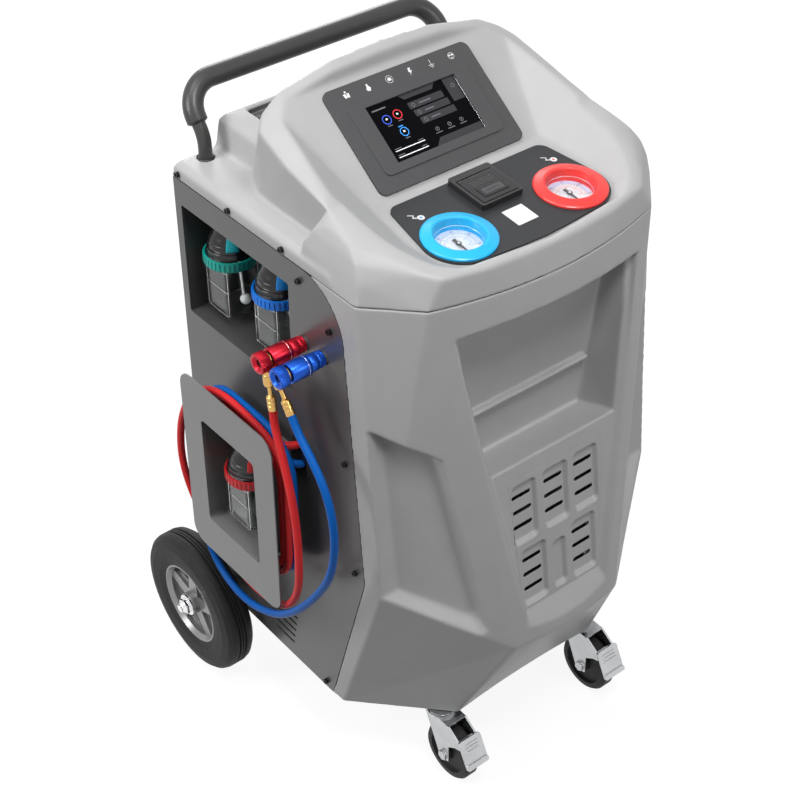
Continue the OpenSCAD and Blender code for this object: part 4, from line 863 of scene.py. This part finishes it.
# Screen picture and icons, without words
def screen_picture():
    layers = [("lit_grey", 0.06, [[(-22, 45), (-14, 37), (36, 37), (44, 45)]])]
    add = layers.append
    add(("lit_grey", 0.06, bar(58, 8, 80, 45)))
    add(("lit_grey", 0.06, [[(-8, -45), (4, -33), (80, -33), (80, -45)]]))
    for k in range(3):
        y = 25 - 13 * k
        x = -14 + 3.0 * k
        add(("lit_grey", 0.07, soft_bar(x, y - 5, x + 62, y + 5.5, 1.5)))
        add(("lit_mid", 0.12, ring(x + 8, y, 2.2, 3.0)))
        add(("lit_mid", 0.12, bar(x + 18, y - 0.8, x + 34 + 5 * (k == 0), y + 0.8)))
    for k in range(3):
        x = 8 + 22 * k
        add(("lit_mid", 0.12, ring(x, -20, 2.4, 3.2)))
        add(("lit_mid", 0.12, stroke([(x - 1.2, -21), (x + 1.4, -18.8)], 0.7)))
        add(("lit_mid", 0.12, bar(x - 6, -26.4, x + 6, -25.2)))
    add(("lit_mid", 0.12, ring(70, 31, 2.4, 3.2)))
    for x, y, key in ((-57, 19, "lit_blue"), (-37, 21, "lit_red"), (-42, -6, "lit_cyan")):
        add((key, 0.12, ring(x, y, 6.0, 7.4, n=8 if key == "lit_cyan" else None)))
        add(("lit_white", 0.14, bar(x - 1.6, y - 0.6, x + 1.6, y + 2.0)))
        add(("lit_mid", 0.14, bar(x - 4, y - 10.4, x + 4, y - 9.2)))
    add(("lit_cyan", 0.12, bar(-47, 2.6, -39, 4.0)))
    for y in (-28, -38):
        add(("lit_white", 0.12, bar(-72, y - 1.0, -20, y + 0.4)))
        add(("lit_mid", 0.12, bar(-72, y + 2.4, -60, y + 3.4)))
        add(("lit_mid", 0.12, bar(-30, y + 2.4, -21, y + 3.4)))
    add(("lit_mid", 0.12, bar(-72, 36, -48, 38)))
    printed("screen_picture", slope_at(0, SCREEN_V, SCREEN_TOP), layers)


screen_picture()


def panel_icons():
    bolt = [[(-1.5, 6), (2.5, 6), (0.6, 1.2), (3.2, 1.2), (-2.6, -6.5), (-0.6, -0.6), (-3.0, -0.6)]]
    arrow = []
    for line in ([(0, 6), (0, -2)], [(-4.5, -2), (4.5, -2)], [(-2.8, -4), (2.8, -4)],
                 [(-1.2, -6), (1.2, -6)]):
        arrow += stroke(line, 0.8)
    mask = ring(0, 0, 4.6, 5.3) + bar(-4, 0, -0.6, 2.6) + bar(0.6, 0, 4, 2.6) + bar(-1.5, -3.4, 1.5, -2.2)
    dome = ring(0, 0, 5.4, 6.0)
    dome.append([(-3.2, -2.4), (3.2, -2.4), (3.2, 0.4), (1.6, 2.8), (-1.6, 2.8), (-3.2, 0.4)])
    leaf = [[(-3.6, -5), (1.6, -6), (3.6, -1), (1.4, 1.6), (0.6, 5.6), (-1.6, 5.4), (-2.2, 0.8),
             (-4.2, -1.6)]]
    book = moved(bar(-4.6, -3.4, -0.4, 3.4), 0, 0, 12) + moved(bar(0.4, -3.4, 4.6, 3.4), 0, 0, -12)
    book += disc(0, 5.2, 1.7, 16)
    polys = []
    for k, icon in enumerate((book, leaf, dome, bolt, arrow, mask)):
        polys += moved(icon, -94 + 37.6 * k, 0)
    printed("panel_icons", slope_at(0, ICONS_V, PANEL_TOP), [("white", 0.06, polys)])
    for side, key in ((-1, "print_blue"), (1, "print_red")):
        mark = stroke([(-9, 10), (-3, 6), (-6.5, 1.5)], 1.6) + stroke([(-6.5, 1.5), (0, -2)], 2.2)
        layers = [("white", 0.06, mark + disc(3.5, -3, 5.2)),
                  (key, 0.1, bar(1.0, -3.7, 6.0, -2.3) + bar(2.8, -5.5, 4.2, -0.5))]
        place = plate_at(side * 118 + 6 * (side > 0), 58, PLATE_TOP)
        printed("port_mark_" + ("low" if side < 0 else "high"), place, layers)


panel_icons()
printed("blank_label", plate_at(0, 132, PLATE_TOP), [("white", 0.12, soft_bar(-18, -18, 18, 18, 1.0))])


# Shallow panel and seams of the printer lid
def lid_trim():
    layers = [("dark", 1.08, soft_bar(-17, -20.5, 17, -8.5, 1.5)),
              ("print_black", 1.12, soft_bar(-13, -16.2, 13, -13.2, 1.0))]
    add = layers.append
    for x in (-25.5, 25.5):
        add(("print_black", 0.06, bar(x - 0.5, -30, x + 0.5, 18)))
    for y in (3.0, 7.0, 11.0):
        add(("dark", 0.08, soft_bar(-20, y - 0.6, 20, y + 0.6, 0.5)))
    printed("printer_lid_trim", plate_at(0, PRINTER_W, LID_TOP), layers, "paper_lid")


# Silver slope round the screen window
def window_bevel():
    outer = [(-81.5, -46.5), (81.5, -46.5), (81.5, 46.5), (-81.5, 46.5)]
    inner = [(-80, -45), (80, -45), (80, 45), (-80, 45)]
    place = slope_at(0, SCREEN_V, 0)
    verts = [place @ Vector((x * MM, y * MM, 5.6 * MM)) for x, y in outer]
    verts += [place @ Vector((x * MM, y * MM, 2.95 * MM)) for x, y in inner]
    faces = [(k, (k + 1) % 4, 4 + (k + 1) % 4, 4 + k) for k in range(4)]
    object_of("window_bevel", mesh_of("window_bevel", verts, faces), "silver", smooth=False)


window_bevel()
lid_trim()


# Turned pieces
def lathe(name, profile, place, finish, body, segments=96, teeth=0, replaces=()):
    """Profile of (radius, distance along the axis, knurl depth) in mm, turned about local Z."""
    verts, faces = [], []
    rows = len(profile)
    for k in range(segments):
        a = 2 * math.pi * k / segments
        wave = 0.5 + 0.5 * math.cos(teeth * a) if teeth else 0.0
        for point in profile:
            depth = point[2] if len(point) > 2 else 0.0
            r = point[0] - depth * (1 - wave)
            verts.append(place @ Vector((r * math.cos(a) * MM, r * math.sin(a) * MM, point[1] * MM)))
    for k in range(segments):
        n = (k + 1) % segments
        for j in range(rows):
            i = (j + 1) % rows
            faces.append((k * rows + j, n * rows + j, n * rows + i, k * rows + i))
    obj = object_of(name, mesh_of(name, verts, faces), finish, body)
    sharp_edges(obj)
    if replaces:
        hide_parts(*replaces)
    return obj


def sharp_edges(obj):
    with editing(obj.data) as bm:
        bmesh.ops.recalc_face_normals(bm, faces=bm.faces)
        for e in bm.edges:
            e.smooth = len(e.link_faces) == 2 and e.calc_face_angle(0.0) < SHARP_ANGLE


# Instrument plate with its two rear corners rounded
PLATE_CORNER = (140.0, 20.0)
PLATE_CORNER_R = 0.014


def rounded_plate():
    mesh = NODES["instrument_plate"].data.copy()
    corners = [plate_at(side * PLATE_CORNER[0], PLATE_CORNER[1], 1.8) for side in (-1, 1)]
    with editing(mesh) as bm:
        bmesh.ops.remove_doubles(bm, verts=bm.verts, dist=1e-5)
        edges = []
        for e in bm.edges:
            a, b = e.verts[0].co, e.verts[1].co
            for place in corners:
                upright = abs((b - a).normalized().dot(place.col[2].to_3d())) > 0.99
                if upright and ((a + b) / 2 - place.translation).length < 0.001:
                    edges.append(e)
        bmesh.ops.bevel(bm, geom=edges, offset=PLATE_CORNER_R, segments=8, profile=0.5, affect="EDGES",
                        clamp_overlap=False)
        bmesh.ops.recalc_face_normals(bm, faces=bm.faces)
    plate = object_of("instrument_plate_film", mesh, "plate")
    sharp_edges(plate)
    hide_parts("instrument_plate")


rounded_plate()


# Couplers parked on their posts, with the port of each hose
POST_X, POST_Z, PORT_X = -270, 803, -328
POST_Y = {"red": -54, "blue": -97}
PORT_TURNS = {"red": (-8, 8), "blue": (-42, 34)}
NOTCH_X, NOTCH_R, NOTCH_HALF = (-320.4, -331.0), (6.0, 20.0), 4.6


def coupler_at(y):
    return basis((POST_X, y, POST_Z), (0, 1, 0), (-1, 0, 0))


def port_notch(sleeve, y, turn, finish):
    """Opens the end of a sleeve where the port passes, with room for the slide."""
    down = Vector((0, -math.sin(turn), -math.cos(turn)))
    across = Vector((1, 0, 0)).cross(down)
    verts = []
    for x in NOTCH_X:
        for r in NOTCH_R:
            for w in (-NOTCH_HALF, NOTCH_HALF):
                verts.append((Vector((x, y, POST_Z)) + down * r + across * w) * MM)
    sides = [(0, 1, 3, 2), (4, 6, 7, 5), (0, 4, 5, 1), (2, 3, 7, 6), (0, 2, 6, 4), (1, 5, 7, 3)]
    cutter = placed("notch", mesh_of("notch", verts, sides))
    sharp_edges(cutter)
    cut = sleeve.modifiers.new("notch", "BOOLEAN")
    cut.operation = "DIFFERENCE"
    cut.solver = "EXACT"
    cut.object = cutter
    made = evaluated_mesh(sleeve)
    sleeve.modifiers.clear()
    sleeve.data = made
    paint(sleeve, finish)
    sharp_edges(sleeve)
    bpy.data.objects.remove(cutter)


def coupler(word, y, finish):
    place = coupler_at(y)
    sleeve = [(10.05, 13), (12.0, 13), (12.9, 13.8, 0.5), (12.9, 24.0, 0.5), (12.2, 24.8), (12.2, 25.6),
              (14.5, 26.4), (15.2, 27.4), (15.2, 30.4), (14.8, 30.8), (14.8, 31.6), (15.2, 32.0),
              (15.2, 57.4), (14.7, 58.5), (13.8, 59.0), (11.4, 59.0), (11.4, 54.6), (10.05, 53.6)]
    stands_for = (word + "_coupler_sleeve",)
    turned = lathe(word + "_sleeve_turned", sleeve, place, finish, word + "_sleeve", 144, 48, stands_for)
    port_notch(turned, y, math.radians(PORT_TURNS[word][0]), finish)
    knob = [(6.05, 63), (13.4, 63), (14.6, 63.5), (15.5, 64.6, 1.0), (15.5, 77.2, 1.0), (14.8, 78.5),
            (13.6, 79), (11.2, 79), (9.6, 77.6), (8.2, 75.4), (6.05, 75)]
    lathe(word + "_knob_turned", knob, place, finish, word + "_knob", 180, 36, (word + "_coupler_knob",))
    collar = [(9.0, 1.6), (11.4, 1.6), (12.0, 2.4), (12.0, 4.6), (11.2, 5.2), (11.2, 6.0),
              (12.4, 6.8, 0.5), (12.4, 11.4, 0.5), (11.8, 12.4), (9.0, 12.4)]
    lathe(word + "_post_collar", collar, place, finish, "machine", 144, 36)
    lathe(word + "_core_ring", [(9.8, 60.2), (10.8, 60.4), (10.8, 61.9), (9.8, 62.1)], place, "brass",
          "machine")
    lathe(word + "_sleeve_ring", [(14.6, 30.75), (15.05, 30.9), (15.05, 31.5), (14.6, 31.65)], place,
          "chrome", word + "_sleeve")


for word, y in POST_Y.items():
    coupler(word, y, word + "_alu")


# Brass elbows and ferrules at the far ends of the hoses
def aimed(start, direction):
    z_axis = Vector(direction).normalized()
    return basis(start, z_axis.cross(Vector((1, 0, 0))), z_axis)


def fitting(word, y, turns):
    a, b = math.radians(turns[0]), math.radians(turns[1])
    d1 = Vector((0, -math.sin(a), -math.cos(a)))
    d2 = Vector((0, -math.sin(b), -math.cos(b)))
    port = Vector((PORT_X, y, POST_Z))
    elbow = port + 38 * d1
    hexagon = [(4.2, 17.6), (8.2, 17.6), (9.0, 18.4), (9.0, 26.4), (8.2, 27.4), (4.2, 27.4)]
    pieces = [lathe(word + "_port_nut", hexagon, aimed(port, d1), "brass", "machine", 6)]
    block = [(0.2, 9.5), (4.0, 9.5), (4.0, 17.4), (6.4, 17.8), (6.4, 27.2), (7.6, 28.0), (8.0, 29.0),
             (8.0, 36.0), (7.6, 40.2), (6.4, 43.4), (4.2, 45.4), (0.2, 46.2)]
    pieces.append(lathe(word + "_port_elbow", block, aimed(port, d1), "brass", "machine", 48))
    tail = [(0.2, -8.0), (4.2, -7.0), (6.6, -4.6), (7.9, -1.2), (8.0, 6.0), (7.4, 9.2), (5.4, 11.2),
            (3.7, 12.4), (3.4, 14.0), (3.4, 25.4), (4.6, 26.6), (5.6, 27.4), (6.6, 28.2), (7.0, 29.0),
            (7.0, 33.0), (6.5, 33.6), (6.5, 35.0), (7.0, 35.6), (7.0, 39.4), (6.5, 40.0), (6.5, 41.4),
            (7.0, 42.0), (7.0, 49.2), (6.6, 50.0), (6.0, 50.0), (0.2, 49.0)]
    pieces.append(lathe(word + "_ferrule", tail, aimed(elbow, d2), "brass", "machine", 48))
    return pieces


red_ends = fitting("red", POST_Y["red"], PORT_TURNS["red"])
blue_ends = fitting("blue", POST_Y["blue"], PORT_TURNS["blue"])
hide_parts("hose_fittings")
hose("red_hose_line", red_route, "red_hose", ("red_hose", "hose_coil"))
hose("blue_hose_line", blue_route, "blue_hose", ("blue_hose",))


# Bottles: heads with coloured tabs, edge lines and dip tubes of the jars, and one float ball
BOTTLES = {
    "green": ((-222, 190, 805), "turquoise", 79.0, ("bottle_heads",)),
    "blue": ((-222, 66, 805), "sky", 79.0, ()),
    "red": ((-292, 66, 505), "maroon", 88.0, ()),
}
TAB_TURNS, TAB_HALF = (-118.0, 62.0), 17.0
JAR_HALF, JAR_R, JAR_BEAD = 28.6, 5.0, 0.55


def shifted(x, y, z):
    return Matrix.Translation((x * MM, y * MM, z * MM))


def bottle(word, place, tab, top, replaces):
    neck = [(0.5, 57.0), (12.4, 57.0), (12.4, 60.6), (11.0, 61.4), (11.0, top - 5.0), (13.0, top - 4.4),
            (13.0, top - 0.1), (0.5, top - 0.1)]
    lathe(word + "_head_neck", neck, place, "gloss", "machine", 48)
    head = [(0.5, 8.2), (36.8, 8.2), (36.8, 9.6), (35.6, 10.2), (35.6, 17.2), (35.0, 18.0), (33.6, 18.4),
            (33.6, 20.2), (33.0, 21.0), (33.0, 28.4), (32.4, 29.4), (31.6, 29.8), (31.6, 31.0),
            (30.6, 33.6), (28.4, 38.0), (25.8, 42.2), (24.6, 47.0), (23.4, 52.0), (21.0, 56.0),
            (17.0, 58.0), (0.5, 58.0)]
    lathe(word + "_head_turned", head, place, "gloss", "machine", 96, replaces=replaces)
    for k, turn in enumerate(TAB_TURNS):
        verts = []
        across = 8
        rows = [(33.9, 22.0, 0.9), (34.4, 24.0, 1.0), (33.4, 30.0, 0.98), (31.4, 37.0, 0.92),
                (28.4, 44.0, 0.8), (26.0, 50.0, 0.7)]
        for r, h, wide in rows:
            for j in range(across + 1):
                a = math.radians(turn + TAB_HALF * wide * (2 * j / across - 1))
                verts.append(place @ Vector((r * math.cos(a) * MM, r * math.sin(a) * MM, h * MM)))
        mesh = mesh_of("tab", verts, strip_faces(len(rows), across))
        thicken(object_of(f"{word}_head_tab_{k}", mesh, tab), 0.0022, -1.0)


def bead(verts, faces, line, r, place, closed, sides=6):
    """A thin round bead along a line of points in mm."""
    count = len(line)
    base = len(verts)
    for k in range(count):
        a = Vector(line[k - 1 if closed or k else 0])
        b = Vector(line[(k + 1) % count if closed else min(k + 1, count - 1)])
        along = (b - a).normalized()
        u = along.orthogonal() if abs(along.z) > 0.9 else Vector((0, 0, 1))
        v = along.cross(u).normalized()
        u = v.cross(along).normalized()
        for j in range(sides):
            t = 2 * math.pi * j / sides
            verts.append(place @ ((Vector(line[k]) + u * r * math.cos(t) + v * r * math.sin(t)) * MM))
    for k in range(count if closed else count - 1):
        n = (k + 1) % count
        for j in range(sides):
            i = (j + 1) % sides
            faces.append((base + k * sides + j, base + n * sides + j, base + n * sides + i,
                          base + k * sides + i))


def jar_lines(word, place):
    """Moulded edge lines of a clear jar, and the dip tube inside it."""
    verts, faces = [], []
    for h in (-12.0, -46.0, -88.9):
        square = soft_bar(-JAR_HALF, -JAR_HALF, JAR_HALF, JAR_HALF, JAR_R)[0]
        bead(verts, faces, [(x, y, h) for x, y in square], JAR_BEAD, place, True)
    q = JAR_HALF - JAR_R + JAR_R * math.sqrt(0.5)
    for cx, cy in ((q, q), (-q, q), (-q, -q), (q, -q)):
        bead(verts, faces, [(cx, cy, h) for h in (-8.0, -47.0, -88.0)], JAR_BEAD, place, False)
    object_of(word + "_jar_lines", mesh_of("jar_lines", verts, faces), "jar_edge", word + "_bottle")
    verts, faces = [], []
    bead(verts, faces, [(6.0, -8.0, 4.0), (8.0, -10.0, -40.0), (9.5, -12.0, -78.0)], 2.2, place, False, 10)
    dip_tube = object_of(word + "_dip_tube", mesh_of("dip_tube", verts, faces), "ball", word + "_bottle")
    sharp_edges(dip_tube)


for word, row in BOTTLES.items():
    jar_lines(word, shifted(*row[0]))
float_ball = [(0.1, -8.5), (3.3, -7.8), (6.0, -6.0), (7.9, -3.2), (8.5, -0.6), (8.7, 0.0), (8.5, 0.6),
              (7.9, 3.2), (6.0, 6.0), (3.3, 7.8), (0.1, 8.5)]
lathe("green_float_ball", float_ball, shifted(-212, 175, 728), "ball", "green_bottle", 36)
for word, (spot, tab, top, stands_for) in BOTTLES.items():
    bottle(word, shifted(*spot), tab, top, stands_for)


# Handle legs: slimmer than the grip that they carry, with a bush where they meet
HANDLE_X, HANDLE_Y = 226, 232
LEG_D, LEG_BEND_Z, LEG_BEND_R, LEG_TOP_Z = 20.5, 968, 45, 983
LEAN_Y, LEAN_Z = 0.6, 0.8
FOOT_RAY = (0.2505, 1.3)


def leaning(x, run):
    """Point on the leaning end of a leg, run mm along it."""
    return (x, HANDLE_Y + LEAN_Y * run, LEG_TOP_Z + LEAN_Z * run)


def handle_leg(word, x):
    lean = math.atan(LEAN_Y / LEAN_Z)
    line = [(x, HANDLE_Y, 925), (x, HANDLE_Y, 945), (x, HANDLE_Y, LEG_BEND_Z)]
    for k in range(1, 13):
        a = lean * k / 12
        y = HANDLE_Y + LEG_BEND_R - LEG_BEND_R * math.cos(a)
        line.append((x, y, LEG_BEND_Z + LEG_BEND_R * math.sin(a)))
    line.append(leaning(x, 30))
    leg = tube(word + "_handle_leg", np.array(line) * MM, LEG_D * MM, 6, "handle")
    bush = [(9.6, -3.2), (10.6, -3.2), (12.6, -2.2), (14.6, -0.9), (15.3, 0.4), (15.3, 2.5), (9.6, 2.5)]
    place = aimed(leaning(x, 23.5), (0, LEAN_Y, LEAN_Z))
    lathe(word + "_handle_bush", bush, place, "grip", "machine", 48)
    top = tree_of(["top_cover"]).ray_cast((x * MM, *FOOT_RAY), (0, 0, -1))[0].z / MM
    foot = [(9.6, -4.0), (12.4, -4.0), (12.4, 0.4), (12.0, 1.6), (11.2, 2.4), (10.2, 2.8), (9.6, 2.8)]
    lathe(word + "_handle_foot", foot, shifted(x, HANDLE_Y, top), "black", "machine", 48)
    return leg


for word, x in (("left", -HANDLE_X), ("right", HANDLE_X)):
    leg = handle_leg(word, x)
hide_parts("handle_tube")


# Dished plate behind the spokes of each rear wheel
DISH_X, AXLE_Y, AXLE_Z = 315.5, 220, 127


def wheel_dish(word, side):
    place = basis((side * DISH_X, AXLE_Y, AXLE_Z), (0, 0, side), (side, 0, 0))
    profile = [(20.0, -1.5), (34.0, -2.5), (52.0, -1.0), (60.0, 2.5), (66.5, 4.0), (66.5, 2.0),
               (60.0, 0.4), (52.0, -3.2), (34.0, -4.6), (20.0, -3.6)]
    lathe(word + "_wheel_dish", profile, place, "rim", word + "_wheel")


wheel_dish("left", -1)
wheel_dish("right", 1)


# Stage and light
WHITE = (1.0, 1.0, 1.0, 1.0)


def looked_at(nt):
    """1 for what the camera sees directly, in a mirror or through glass, 0 for the light itself."""
    path = nt.nodes.new("ShaderNodeLightPath")
    seen = path.outputs["Is Camera Ray"]
    for kind in ("Is Glossy Ray", "Is Transmission Ray"):
        either = nt.nodes.new("ShaderNodeMath")
        either.operation = "MAXIMUM"
        nt.links.new(seen, either.inputs[0])
        nt.links.new(path.outputs[kind], either.inputs[1])
        seen = either.outputs[0]
    return seen


def shown_as(nt, lit, seen, end):
    """One shader for the light, and another where it is looked at."""
    mix = nt.nodes.new("ShaderNodeMixShader")
    nt.links.new(looked_at(nt), mix.inputs["Fac"])
    nt.links.new(lit.outputs[0], mix.inputs[1])
    nt.links.new(seen.outputs[0], mix.inputs[2])
    nt.links.new(mix.outputs[0], nt.nodes[end].inputs["Surface"])


def floor_finish():
    """White where it is looked at or mirrored, pale grey for the light that it returns, shadow kept."""
    made = finish_of("floor_white", (0.14, 0.14, 0.14), 0.9, mottle=0.01, spots=2.0, spread=0.02)
    nt = made.node_tree
    glow = nt.nodes.new("ShaderNodeEmission")
    fill(glow, {"Color": WHITE, "Strength": 0.90})
    both = nt.nodes.new("ShaderNodeAddShader")
    bsdf = nt.nodes["Principled BSDF"]
    nt.links.new(bsdf.outputs[0], both.inputs[0])
    nt.links.new(glow.outputs[0], both.inputs[1])
    shown_as(nt, bsdf, both, "Material Output")
    return made


def make_stage():
    mesh = mesh_of("floor", [(-9, -9, 0), (9, -9, 0), (9, 9, 0), (-9, 9, 0)], [(0, 1, 2, 3)])
    floor = placed("floor", mesh)
    floor.data.materials.append(floor_finish())
    world = bpy.data.worlds.new("studio")
    bpy.context.scene.world = world
    world.use_nodes = True
    nt = world.node_tree
    back = nt.nodes["Background"]
    fill(back, {"Color": WHITE, "Strength": 0.08})
    white = nt.nodes.new("ShaderNodeBackground")
    fill(white, {"Color": WHITE, "Strength": 1.0})
    shown_as(nt, back, white, "World Output")


def lamp(name, where, target, size, power):
    data = bpy.data.lights.new(name, "AREA")
    data.shape = "RECTANGLE"
    data.size = size
    data.size_y = size
    data.energy = power
    obj = placed(name, data)
    obj.location = where
    aim = Vector(target) - Vector(where)
    obj.rotation_euler = aim.to_track_quat("-Z", "Y").to_euler()


make_stage()
lamp("front_high", (-0.4, -1.4, 3.7), (0, 0, 0.6), 0.9, 54)
lamp("front_right", (0.5, -2.7, 2.3), (0, 0, 0.6), 0.8, 18)
lamp("side_left", (-2.6, 0.8, 2.4), (0, 0, 0.7), 1.2, 52)
lamp("over", (-0.9, 0.4, 3.5), (0, 0, 0.9), 1.2, 27)
lamp("back_right", (1.5, 2.7, 1.9), (0, 0, 0.6), 1.6, 40)
bpy.context.scene.view_settings.view_transform = "Standard"
